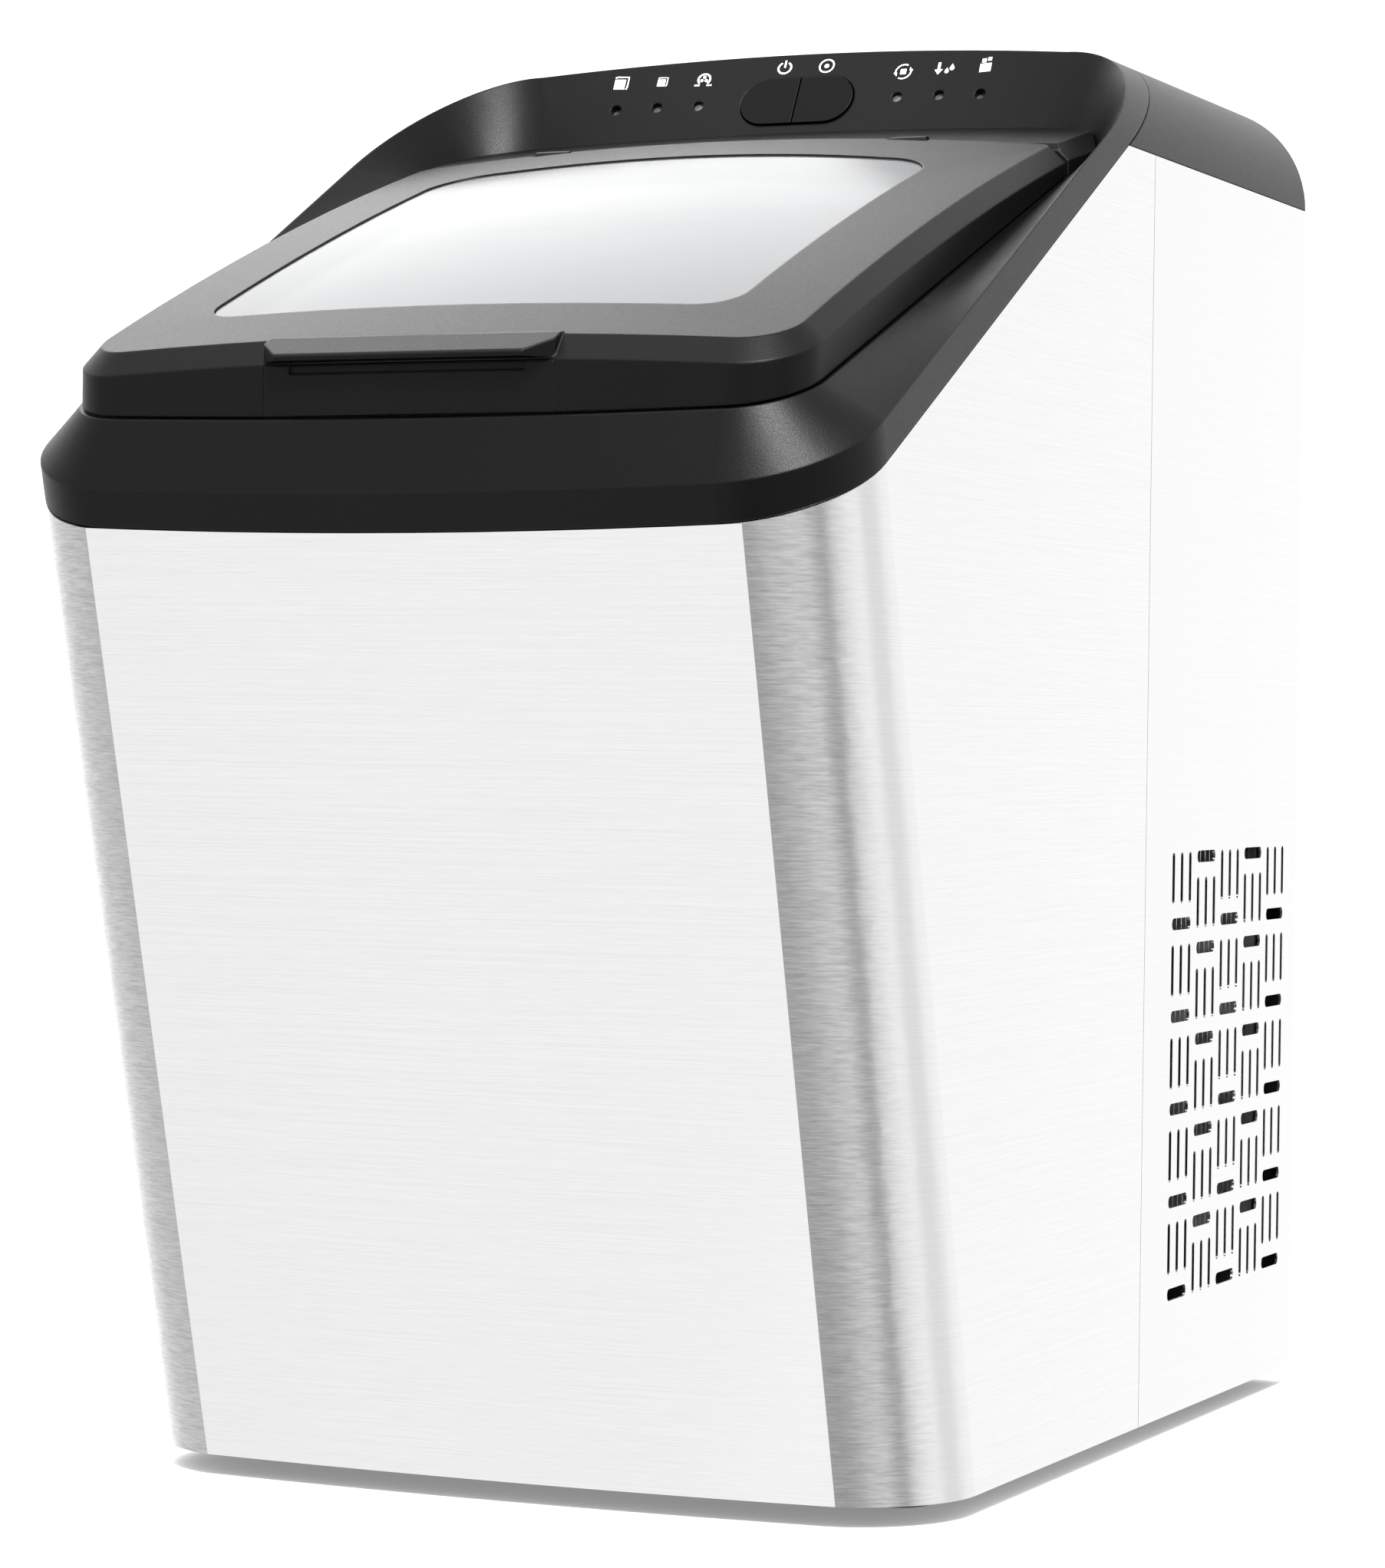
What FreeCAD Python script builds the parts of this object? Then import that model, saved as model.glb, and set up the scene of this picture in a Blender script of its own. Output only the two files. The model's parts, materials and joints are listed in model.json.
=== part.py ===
import FreeCAD, Part
import math
import os

V = FreeCAD.Vector

# ---------------------------------------------------------------- driving dimensions (mm)
HALF_W = 121.0          # half width of the cabinet
REAR_Y = 205.0          # rear wall
FOOT_H = 6.0            # underside of the cabinet above the surface it stands on
BASE_FRONT_Y = -132.0   # front of the cabinet at its lower edge, at mid width
LEAN = 0.277            # forward lean of the front, mm per mm of height
CORNER_R = 36.0         # vertical front corners in plan
FRONT_CROWN = 3.5       # how far the front bows out at mid width
FOLD_X = 94.5           # where the bowed front sheet folds into the corners, from mid width
SPRING_Z = 380.6        # where the side walls end and the rounded top begins
TOP_R = 34.0            # rounded top corners
TOP_CROWN = 4.4         # how far the top bows up at mid width
REAR_R = 5.0            # edges round the rear wall
SLANT = math.radians(28.5)   # slope of the bezel seam
SLANT_Y = 20.3          # where the sloping seam meets the level seam
SEAM_Y = 45.0           # joint of the front wrap and the rear housing
STRIP = 10.0            # height of the bezel's outer strip, square to the seam
SHEET = 0.8             # cabinet sheet
SHELL = 2.6             # moulded covers
SEAM_GAP = 0.3          # gap between the steel and the moulded covers
BELOW = -20.0           # height below the cabinet at which cutting forms begin

DECK_Z = 367.25         # bezel deck under the lid, height at y = 0
DECK_SLOPE = 0.393
LID_HALF_W = 106.5
LID_FRONT_Y = -198.7
LID_REAR_Y = 9.0
LID_TOP_Z = 382.3       # lid top at x = 0, y = 0
LID_SLOPE = 0.2992
LID_ARCH = 0.00036
LID_CROWN = 5.0
LID_CHAMFER = 5.0
HINGE_Y = 9.4
HINGE_Z = 381.9
BARREL_R = 1.8
WINDOW_HALF_W = 78.0
WINDOW_FRONT_Y = -170.7
WINDOW_REAR_Y = -14.5

TAN_SLANT = math.tan(SLANT)
COS_SLANT = math.cos(SLANT)
BIG = 600.0
SAMPLES = 9             # points on each curved stretch of an outline


# ---------------------------------------------------------------- plain helpers
def box(x0, x1, y0, y1, z0, z1):
    return Part.makeBox(x1 - x0, y1 - y0, z1 - z0, V(x0, y0, z0))


def rod(start, end, radius):
    """A round bar from one point to another."""
    a = V(*start)
    b = V(*end)
    return Part.makeCylinder(radius, (b - a).Length, a, b - a)


def prism_x(points, x0, x1):
    """A side profile, points (y, z), drawn out across the width."""
    wire = Part.makePolygon([V(x0, y, z) for y, z in points + points[:1]])
    return Part.Face(wire).extrude(V(x1 - x0, 0, 0))


def prism_z(points, z0, z1):
    """A plan profile, points (x, y), drawn up."""
    wire = Part.makePolygon([V(x, y, z0) for x, y in points + points[:1]])
    return Part.Face(wire).extrude(V(0, 0, z1 - z0))


def fuse(shapes):
    shapes = list(shapes)
    if len(shapes) == 1:
        return shapes[0]
    return shapes[0].multiFuse(shapes[1:]).removeSplitter()


def cut(shape, tools):
    return shape.cut(Part.makeCompound(list(tools)))


def rounded_box(x0, x1, y0, y1, z0, z1, radius, directions="z"):
    """A box with the edges along the given directions rounded."""
    solid = box(x0, x1, y0, y1, z0, z1)
    edges = []
    for edge in solid.Edges:
        run = edge.Vertexes[1].Point - edge.Vertexes[0].Point
        axis = "x" if abs(run.x) > 1e-6 else "y" if abs(run.y) > 1e-6 else "z"
        if axis in directions:
            edges.append(edge)
    return solid.makeFillet(radius, edges)


def tube(points, radius, bend):
    """A solid round pipe along straight runs joined by tangent arcs."""
    points = [V(*p) for p in points]
    edges = []
    last = points[0]
    for before, corner, after in zip(points, points[1:], points[2:]):
        u = (before - corner).normalize()
        w = (after - corner).normalize()
        half = u.getAngle(w) / 2
        reach = bend / math.tan(half)
        start = corner + u * reach
        end = corner + w * reach
        centre = corner + (u + w).normalize() * (bend / math.sin(half))
        middle = centre + (corner - centre).normalize() * bend
        if (start - last).Length > 1e-4:
            edges.append(Part.LineSegment(last, start).toShape())
        edges.append(Part.Arc(start, middle, end).toShape())
        last = end
    edges.append(Part.LineSegment(last, points[-1]).toShape())
    path = Part.Wire(edges)
    direction = points[1] - points[0]
    ring = Part.Wire(Part.makeCircle(radius, points[0], direction))
    return path.makePipeShell([ring], True, True)


# ---------------------------------------------------------------- outlines and walls
def arc_points(cx, cy, radius, start, end):
    """Points on a quarter corner in plan; angles in degrees."""
    points = []
    for i in range(SAMPLES):
        angle = math.radians(start + (end - start) * i / (SAMPLES - 1))
        points.append((cx + radius * math.cos(angle), cy + radius * math.sin(angle)))
    return points


def bow_end(a, bow, radius):
    """Where a bowed front runs into its corner arc: the angle turned, x and how far back."""
    angle = 0.0
    for i in range(4):
        x = a + radius * math.sin(angle)
        angle = math.atan(2 * bow * x / a ** 2)
    x = a + radius * math.sin(angle)
    return angle, x, bow * (x / a) ** 2


def bowed(x0, x1, y_mid, bow, half):
    """A bowed stretch: y_mid at x = 0, and y_mid + bow at x = half."""
    points = []
    for i in range(SAMPLES):
        x = x0 + (x1 - x0) * i / (SAMPLES - 1)
        points.append((x, y_mid + bow * (x / half) ** 2))
    return points


def outline(half, front, rear, r_front, r_rear, bow_front=0.0, bow_rear=0.0):
    """Eight stretches of a rounded plan outline, anticlockwise from the front."""
    a = half - r_front
    b = half - r_rear
    turned, join, back = bow_end(a, bow_front, r_front)
    start = math.degrees(turned) - 90
    corner_front = front + back + r_front * math.cos(turned)
    corner_rear = rear - bow_rear - r_rear
    return [
        bowed(-join, join, front, bow_front, a),
        arc_points(a, corner_front, r_front, start, 0),
        [(half, corner_front), (half, corner_rear)],
        arc_points(b, corner_rear, r_rear, 0, 90),
        bowed(b, -b, rear, -bow_rear, b),
        arc_points(-b, corner_rear, r_rear, 90, 180),
        [(-half, corner_rear), (-half, corner_front)],
        arc_points(-a, corner_front, r_front, 180, 180 - start),
    ]


def curve(points):
    """A straight edge through two points, or a smooth one through more."""
    points = [V(*p) for p in points]
    if len(points) == 2:
        return Part.LineSegment(points[0], points[1]).toShape()
    spline = Part.BSplineCurve()
    spline.interpolate(points)
    return spline.toShape()


def ring(stretches, height, straight_steps=0):
    """A closed ring of edges over a plan outline, at height(x, y)."""
    edges = []
    for stretch in stretches:
        points = stretch
        if straight_steps and len(stretch) == 2:
            (x0, y0), (x1, y1) = stretch
            steps = [i / straight_steps for i in range(straight_steps + 1)]
            points = [(x0 + (x1 - x0) * t, y0 + (y1 - y0) * t) for t in steps]
        edges.append(curve([(x, y, height(x, y)) for x, y in points]))
    return edges


def band(first, second):
    return [Part.makeRuledSurface(a, b) for a, b in zip(first, second)]


def flat_cap(edges):
    return Part.Face(Part.Wire(edges))


def solid_from_faces(faces):
    shell = Part.makeShell(faces)
    shell.sewShape()
    solid = Part.makeSolid(shell)
    if solid.Volume < 0:
        solid.reverse()
    return solid


def solid_from_rings(rings, caps=None):
    """Rings joined in turn by ruled walls, then capped, or closed back on the first ring."""
    faces = []
    for first, second in zip(rings, rings[1:]):
        faces += band(first, second)
    if caps is None:
        faces += band(rings[-1], rings[0])
    else:
        faces.append(caps[0](rings[0]))
        faces.append(caps[1](rings[-1]))
    return solid_from_faces(faces)


def level(z):
    return lambda x, y: z


def deck(offset=0.0):
    return lambda x, y: DECK_Z + DECK_SLOPE * y + offset


def lid_top(offset=0.0):
    def height(x, y):
        crown = LID_CROWN * (x / 102.0) ** 2
        return LID_TOP_Z + LID_SLOPE * y - LID_ARCH * y * y - crown + offset
    return height


# ---------------------------------------------------------------- the cabinet's outer form
def top_corner_z():
    return SPRING_Z + TOP_R


def cabinet_form(inset=0.0, z0=FOOT_H):
    """The whole outer form, moved in by a wall thickness."""
    arch = Part.Face(Part.Wire(arch_edges(inset, -BIG, z0)))
    arched = arch.extrude(V(0, REAR_Y - inset + BIG, 0))
    rear = [edge for edge in arched.Edges if edge.BoundBox.YMin > 0 and edge.BoundBox.ZMax > z0 + 1]
    arched = arched.makeFillet(REAR_R - inset, rear)
    return leaning_form(inset, z0).common(arched)


def leaning_form(inset, z0):
    """The plan outline with its round front corners, drawn up along the leaning front."""
    half = HALF_W - inset
    radius = CORNER_R - inset
    a = half - radius
    fold = math.asin((FOLD_X - a) / CORNER_R)
    middle = (fold + math.pi / 2) / 2
    lowered = LEAN * (FOOT_H - z0)
    front = BASE_FRONT_Y + inset * math.sqrt(1 + LEAN ** 2) + lowered
    side = BASE_FRONT_Y + FRONT_CROWN * (FOLD_X / a) ** 2 + CORNER_R * math.cos(fold) + lowered
    join = a + radius * math.sin(fold)
    out_x = a + radius * math.sin(middle)
    out_y = side - radius * math.cos(middle)
    rear = REAR_Y + BIG
    right = V(half, side, z0)
    left = V(-half, side, z0)
    front_right = V(join, side - radius * math.cos(fold), z0)
    front_left = V(-join, side - radius * math.cos(fold), z0)
    edges = [Part.Arc(front_left, V(0, front, z0), front_right).toShape()]
    edges.append(Part.Arc(front_right, V(out_x, out_y, z0), right).toShape())
    corners = [right, V(half, rear, z0), V(-half, rear, z0), left]
    edges += [Part.LineSegment(p, r).toShape() for p, r in zip(corners, corners[1:])]
    edges.append(Part.Arc(left, V(-out_x, out_y, z0), front_left).toShape())
    return Part.Face(Part.Wire(edges)).extrude(V(0, -LEAN * BIG, BIG))


def arch_edges(inset, y, z0):
    """The front view of the cabinet: straight sides, round corners and a bowed top."""
    half = HALF_W - inset
    radius = TOP_R - inset
    edge_x = half - radius
    quarter = math.sqrt(0.5) * radius
    edge_z = SPRING_Z + radius
    top_z = edge_z + TOP_CROWN
    right = V(half, y, SPRING_Z)
    left = V(-half, y, SPRING_Z)
    right_top = V(edge_x, y, edge_z)
    left_top = V(-edge_x, y, edge_z)
    return [
        Part.LineSegment(V(-half, y, z0), V(half, y, z0)).toShape(),
        Part.LineSegment(V(half, y, z0), right).toShape(),
        Part.Arc(right, V(edge_x + quarter, y, SPRING_Z + quarter), right_top).toShape(),
        Part.Arc(right_top, V(0, y, top_z), left_top).toShape(),
        Part.Arc(left_top, V(-edge_x - quarter, y, SPRING_Z + quarter), left).toShape(),
        Part.LineSegment(left, V(-half, y, z0)).toShape(),
    ]


def seam_z(y, offset=0.0):
    """Height of the sloping seam plane, moved out square to itself."""
    return SPRING_Z + (y - SLANT_Y) * TAN_SLANT + offset / COS_SLANT


def below_slant(offset=0.0):
    profile = [(-BIG, -BIG), (BIG, -BIG), (BIG, seam_z(BIG, offset)), (-BIG, seam_z(-BIG, offset))]
    return prism_x(profile, -BIG, BIG)


# ---------------------------------------------------------------- cabinet sheet metal
def cabinet_skin(gap):
    skin = cabinet_form(0.0).cut(cabinet_form(SHEET, BELOW))
    skin = skin.common(below_slant(-gap))
    return skin.common(box(-BIG, BIG, -BIG, BIG, 0, SPRING_Z - gap))


def front_wrap_panel():
    return cabinet_skin(SEAM_GAP).common(box(-BIG, BIG, -BIG, SEAM_Y - 0.25, 0, BIG))


VENT_PITCH_Y = 8.07
VENT_PITCH_Z = 27.81
VENT_TOP_Z = 174.9
VENT_FIRST_Y = 71.7
VENT_ROWS = 5
VENT_COLUMNS = 5
VENT_SLOT = (2.4, 15.4)     # upright slot, width and length
VENT_BLOCK = (18.0, 3.6)    # level slot that covers the ends of three upright ones


def vent_slot(y, z_low, z_high, width):
    """One upright slot with round ends, through either side wall."""
    half = width / 2
    body = box(-BIG, BIG, y - half, y + half, z_low + half, z_high - half)
    ends = [rod((-BIG, y, z), (BIG, y, z), half) for z in (z_low + half, z_high - half)]
    return fuse([body] + ends)


def vent_block(y, z_low):
    """The short wide slot at one end of each cell of three upright slots."""
    half = VENT_BLOCK[0] / 2
    return rounded_box(-BIG, BIG, y - half, y + half, z_low, z_low + VENT_BLOCK[1], 1.7, "x")


def vent_cutters():
    cutters = []
    width, length = VENT_SLOT
    for row in range(VENT_ROWS):
        top = VENT_TOP_Z - VENT_PITCH_Z * row
        for column in range(VENT_COLUMNS):
            flipped = column % 2 == 1
            middle = VENT_FIRST_Y + VENT_PITCH_Y * (3 * column + 1)
            slot_top = top - 7.9 if flipped else top
            block_z = top - 3.4 if flipped else top - 23.3
            for i in (-1, 0, 1):
                cutters.append(vent_slot(middle + i * VENT_PITCH_Y, slot_top - length, slot_top, width))
            cutters.append(vent_block(middle, block_z))
    return cutters


GLAND = (78.0, 42.0)        # power cord gland on the rear wall, (x, z)
DRAIN = (-78.0, 34.0)       # drain spout on the rear wall, (x, z)
REAR_SCREWS = [(x, z) for x in (-108.0, 108.0) for z in (22.0, 196.0, 375.5)]
GLAND_NECK_R = 9.0
SPOUT_R = 9.0
SCREW_R = 1.9


def rear_housing():
    skin = cabinet_skin(SEAM_GAP).common(box(-BIG, BIG, SEAM_Y, BIG, 0, BIG))
    y0, y1 = REAR_Y - 5, REAR_Y + 5
    holes = [
        rod((GLAND[0], y0, GLAND[1]), (GLAND[0], y1, GLAND[1]), GLAND_NECK_R + 0.2),
        rod((DRAIN[0], y0, DRAIN[1]), (DRAIN[0], y1, DRAIN[1]), SPOUT_R + 1.2),
    ]
    holes += [rod((x, y0, z), (x, y1, z), SCREW_R + 0.3) for x, z in REAR_SCREWS]
    holes += rear_grille()
    return cut(skin, vent_cutters() + holes)


def rear_grille():
    """Two ranks of upright slots high on the rear wall, where warm air leaves."""
    cutters = []
    half = 1.6
    for z in (250.0, 290.0):
        for i in range(-7, 8):
            x = i * 9.0
            cutters.append(box(x - half, x + half, REAR_Y - 4, REAR_Y + 4, z, z + 28.0))
    return cutters


def rear_screws():
    """Domed cross-head screws round the rear wall."""
    long, narrow = 2.4, 0.45
    screws = []
    for x, z in REAR_SCREWS:
        dome = Part.makeSphere(6.2, V(x, REAR_Y - 4.0, z))
        head = dome.common(box(x - 5, x + 5, REAR_Y + 0.05, REAR_Y + 5, z - 5, z + 5))
        head = head.common(rod((x, REAR_Y, z), (x, REAR_Y + 5, z), 4.0))
        shank = rod((x, REAR_Y - 7.0, z), (x, REAR_Y + 0.3, z), SCREW_R)
        cross = [
            box(x - long, x + long, REAR_Y + 1.0, REAR_Y + 4, z - narrow, z + narrow),
            box(x - narrow, x + narrow, REAR_Y + 1.0, REAR_Y + 4, z - long, z + long),
        ]
        screws.append(cut(fuse([head, shank]), cross))
    return Part.makeCompound(screws)


PAN_FLOOR = 4.0
ON_PAN_Z = FOOT_H + PAN_FLOOR + 0.05     # underside of what stands on the pan


def base_pan():
    """Moulded floor with an upstand inside the sheet metal, screw posts and air slots."""
    form = cabinet_form(SHEET + 0.2, FOOT_H)
    plate = form.common(box(-BIG, BIG, -BIG, BIG, FOOT_H, FOOT_H + PAN_FLOOR))
    rim = form.cut(cabinet_form(SHEET + 3.2, BELOW))
    rim = rim.common(box(-BIG, BIG, -BIG, BIG, FOOT_H, FOOT_H + 26.0))
    low_screws = [(x, z) for x, z in REAR_SCREWS if z < 100.0]
    posts = [box(x - 6, x + 6, REAR_Y - 16, REAR_Y - 3, FOOT_H + 3, z + 8) for x, z in low_screws]
    pan = fuse([plate, rim] + posts)
    holes = [rod((x, REAR_Y - 9, z), (x, REAR_Y, z), SCREW_R + 0.3) for x, z in REAR_SCREWS]
    holes.append(rod((GLAND[0], 180, GLAND[1]), (GLAND[0], 230, GLAND[1]), 13.0))
    holes.append(rod((DRAIN[0], 180, DRAIN[1]), (DRAIN[0], 230, DRAIN[1]), 15.4))
    holes += [rod((x, y, 0), (x, y, 20), 2.6) for x, y in FEET]
    for i in range(9):
        y = 60.0 + i * 14.0
        holes.append(rounded_box(20, 76, y - 2, y + 2, 0, 20, 1.9))
    return cut(pan, holes)


FEET = [(x, y) for x in (-92.0, 92.0) for y in (-78.0, 172.0)]


def rubber_feet():
    feet = []
    for x, y in FEET:
        pad = Part.makeCone(10.5, 12.0, FOOT_H - 0.05, V(x, y, 0))
        stem = Part.makeCylinder(2.2, 7.0, V(x, y, FOOT_H - 0.1))
        bead = Part.makeCone(3.8, 2.2, 2.2, V(x, y, FOOT_H + 4.2))
        feet.append(fuse([pad, stem, bead]))
    return Part.makeCompound(feet)


CAP_FLANGE_Y = 44.3     # front of the flange that drops inside the steel
CAP_GAP = 0.6           # shadow gap along the sloping seam


def rear_top_cap():
    """Black cover over the rear, between the sloping seam and the rear wall."""
    skin = cabinet_form(0.0).cut(cabinet_form(SHELL, BELOW))
    cap = skin.common(below_slant(-CAP_GAP)).common(box(-BIG, BIG, -BIG, BIG, SPRING_Z, BIG))
    flange = cabinet_form(SHEET + 0.3).cut(cabinet_form(SHEET + 2.3, BELOW))
    flange = flange.common(box(-BIG, BIG, CAP_FLANGE_Y, BIG, SPRING_Z - 9, SPRING_Z + 3))
    cap = fuse([cap, flange])
    holes = [rod((x, REAR_Y - 9, z), (x, REAR_Y, z), SCREW_R + 0.2) for x, z in REAR_SCREWS]
    return cut(cap, holes)


# ---------------------------------------------------------------- top bezel
def crest_ring(inset, offset):
    """The bezel's outline on a plane parallel to the seam.

    The front half follows the leaning front of the cabinet and the rear half its arched top.
    """
    half = HALF_W - inset
    r_plan = CORNER_R - inset
    front = BASE_FRONT_Y + inset * math.sqrt(1 + LEAN ** 2)
    plan = outline(half, front, REAR_Y, r_plan, r_plan, FRONT_CROWN)

    def lean(x, y):
        base = SPRING_Z - SLANT_Y * TAN_SLANT + offset / COS_SLANT
        z = (base + (y + LEAN * FOOT_H) * TAN_SLANT) / (1 + LEAN * TAN_SLANT)
        return (x, y - LEAN * (z - FOOT_H), z)

    front_edge = [lean(x, y) for x, y in plan[0]]
    right_corner = [lean(x, y) for x, y in plan[1]]
    left_corner = [lean(x, y) for x, y in plan[7]]

    def on_plane(x, z):
        return (x, SLANT_Y + (z - SPRING_Z - offset / COS_SLANT) / TAN_SLANT, z)

    r_top = TOP_R - inset
    b = half - r_top
    shoulder = SPRING_Z
    right_top = [on_plane(x, z) for x, z in arc_points(b, shoulder, r_top, 0, 90)]
    left_top = [on_plane(x, z) for x, z in arc_points(-b, shoulder, r_top, 90, 180)]
    crown = TOP_CROWN
    top = [on_plane(x, y) for x, y in bowed(b, -b, shoulder + r_top + crown, -crown, b)]
    stretches = [
        front_edge, right_corner, [right_corner[-1], right_top[0]], right_top,
        top, left_top, [left_top[-1], left_corner[0]], left_corner,
    ]
    return [curve(points) for points in stretches]


DISH_REAR_Y = 53.0
OPENING_HALF_W = 92.0
OPENING_FRONT_Y = -187.0
OPENING_REAR_Y = -18.0


def dish_outline(inset=0.0):
    """Foot of the bezel's sloping faces: just outside the lid, and below the control face."""
    half = LID_HALF_W + 0.8 - inset
    front = LID_FRONT_Y - 0.8 + inset
    return outline(half, front, DISH_REAR_Y - inset, 21.0 - inset, 26.0 - inset, 3.3)


def opening_outline(inset=0.0):
    half = OPENING_HALF_W - inset
    front = OPENING_FRONT_Y + inset
    return outline(half, front, OPENING_REAR_Y - inset, 15.0 - inset, 12.0 - inset, 2.5)


def panel_frame():
    """Origin, up-slope direction and outward normal of the control face, at mid width."""
    foot = V(0, DISH_REAR_Y, DECK_Z + DECK_SLOPE * DISH_REAR_Y)
    top_z = top_corner_z() + TOP_CROWN
    crest_y = SLANT_Y + (top_z - SPRING_Z - STRIP / COS_SLANT) / TAN_SLANT
    crest = V(0, crest_y, top_z)
    up = (crest - foot).normalize()
    normal = V(0, -up.z, up.y)
    return crest, up, normal


def on_panel(x, down, out=0.0):
    """A point on the control face, down from its crest, and out from the face."""
    crest, up, normal = panel_frame()
    return crest + V(x, 0, 0) - up * down + normal * out


def panel_slab(x0, x1, down0, down1, out0, out1):
    """A block square to the control face, placed by x, down from the crest and out from the face."""
    crest, up, normal = panel_frame()
    plan = [(x0, down0), (x1, down0), (x1, down1), (x0, down1)]
    points = [on_panel(x, down, out0) for x, down in plan]
    return Part.Face(Part.makePolygon(points + points[:1])).extrude(normal * (out1 - out0))


BUTTON_HALF_W = 18.4
BUTTON_R = 8.5
BUTTON_DOWN = 17.8
BUTTON_GAP = 0.45
LED_DOWN = 18.2
LED_X = [33.0, 46.8, 60.4]
LED_R = 1.7


def stadium(half, radius, out0, out1):
    """A slot-shaped block lying in the control face around the button centre."""
    crest, up, normal = panel_frame()
    a = half - radius
    p = [on_panel(-a, BUTTON_DOWN - radius, out0), on_panel(a, BUTTON_DOWN - radius, out0),
         on_panel(half, BUTTON_DOWN, out0), on_panel(a, BUTTON_DOWN + radius, out0),
         on_panel(-a, BUTTON_DOWN + radius, out0), on_panel(-half, BUTTON_DOWN, out0)]
    wire = Part.Wire([
        Part.LineSegment(p[0], p[1]).toShape(),
        Part.Arc(p[1], p[2], p[3]).toShape(),
        Part.LineSegment(p[3], p[4]).toShape(),
        Part.Arc(p[4], p[5], p[0]).toShape(),
    ])
    return Part.Face(wire).extrude(normal * (out1 - out0))


def led_axis(x, radius, out0, out1):
    down = LED_DOWN + 0.0012 * (abs(x) - LED_X[0]) ** 2
    a = on_panel(x, down, out0)
    b = on_panel(x, down, out1)
    return rod(tuple(a), tuple(b), radius)


def led_positions():
    return [side * x for side in (-1, 1) for x in LED_X]


def top_bezel():
    wall = SHELL
    half = LID_HALF_W + 0.8
    under = outline(half, LID_FRONT_Y - 0.8 + wall, DISH_REAR_Y + wall, 21.0 - wall, 26.0 + wall, 3.3)
    rings = [
        crest_ring(0.0, 0.0),
        crest_ring(0.0, STRIP),
        ring(dish_outline(), deck()),
        ring(opening_outline(), deck()),
        ring(opening_outline(), deck(-wall)),
        ring(under, deck(-wall)),
        crest_ring(wall, STRIP - 4.0),
        crest_ring(wall, 0.0),
    ]
    shell = solid_from_rings(rings)
    holes = [stadium(BUTTON_HALF_W + BUTTON_GAP, BUTTON_R + BUTTON_GAP, -9, 9)]
    holes += [led_axis(x, LED_R + 0.05, -9, 9) for x in led_positions()]
    return cut(shell, holes)


COVER_FRONT = 0.1       # front of the hinge cover behind the hinge axis
COVER_CROWN = 2.4       # how far its top bows up at mid width
COVER_RISE = 0.235      # slope of its top
SWEEP_R = 3.6           # space the lid's rear edge turns in
KNUCKLE = (52.0, 63.0)  # the cover's two hinge knuckles, distance from mid width
KNUCKLE_R = 2.1
PIN_R = 1.0


def hinge_rod(x0, x1, radius):
    return rod((x0, HINGE_Y, HINGE_Z), (x1, HINGE_Y, HINGE_Z), radius)


def hinge_cover():
    """The bar behind the lid: it holds the hinge pin and meets the foot of the control face."""
    front = HINGE_Y + COVER_FRONT
    length = DISH_REAR_Y + 2.0 - front
    lip_z = HINGE_Z + 0.5
    half = LID_HALF_W
    flat = half - LID_CHAMFER
    edge_z = lip_z - COVER_CROWN
    foot_z = 350.0
    left = V(-flat, front, edge_z)
    right = V(flat, front, edge_z)
    shoulder_z = edge_z - LID_CHAMFER + 0.4
    corners = [V(flat, front, edge_z), V(half, front, shoulder_z), V(half, front, foot_z),
               V(-half, front, foot_z), V(-half, front, shoulder_z), V(-flat, front, edge_z)]
    edges = [Part.Arc(left, V(0, front, lip_z), right).toShape()]
    edges += [Part.LineSegment(a, b).toShape() for a, b in zip(corners, corners[1:])]
    bar = Part.Face(Part.Wire(edges)).extrude(V(0, length, COVER_RISE * length))
    low = deck(0.05)
    above_deck = prism_x([(-50, low(0, -50)), (150, low(0, 150)), (150, 500), (-50, 500)], -BIG, BIG)
    plan = flat_cap(ring(dish_outline(0.3), level(300.0))).extrude(V(0, 0, 200))
    bar = bar.common(above_deck).common(plan)
    bar = bar.cut(hinge_rod(-BIG, BIG, SWEEP_R))
    knuckles = [hinge_rod(side * KNUCKLE[0], side * KNUCKLE[1], KNUCKLE_R) for side in (-1, 1)]
    webs = []
    for side in (-1, 1):
        x0, x1 = sorted((side * KNUCKLE[0], side * KNUCKLE[1]))
        webs.append(box(x0, x1, HINGE_Y, HINGE_Y + 4.5, HINGE_Z - 2.0, HINGE_Z + 0.1))
    bar = fuse([bar] + knuckles + webs)
    return bar.cut(hinge_rod(-KNUCKLE[1] - 1.0, KNUCKLE[1] + 1.0, PIN_R))


def hinge_pin():
    return hinge_rod(-KNUCKLE[1], KNUCKLE[1], PIN_R)


# ---------------------------------------------------------------- lid
LIP_HALF_W = 42.0
LIP_TIP_HALF_W = 35.0
LIP_FRONT_Y = -203.6
GRIP_TOP_Z = 303.4      # top of the insert below the lip
GRIP_DEPTH = 2.0
STEPS = 6               # points along the lid's straight sides, which bow with its top


def lid_outline(inset=0.0, rear_inset=0.0):
    half = LID_HALF_W - inset
    front = LID_FRONT_Y + inset
    return outline(half, front, LID_REAR_Y - rear_inset, max(20.0 - inset, 4.0), 3.0, 3.3)


def window_outline(grow=0.0):
    half = WINDOW_HALF_W + grow
    front = WINDOW_FRONT_Y - grow
    return outline(half, front, WINDOW_REAR_Y + grow, 12.0 + grow, 17.0 + grow, 1.8, 5.0)


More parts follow.
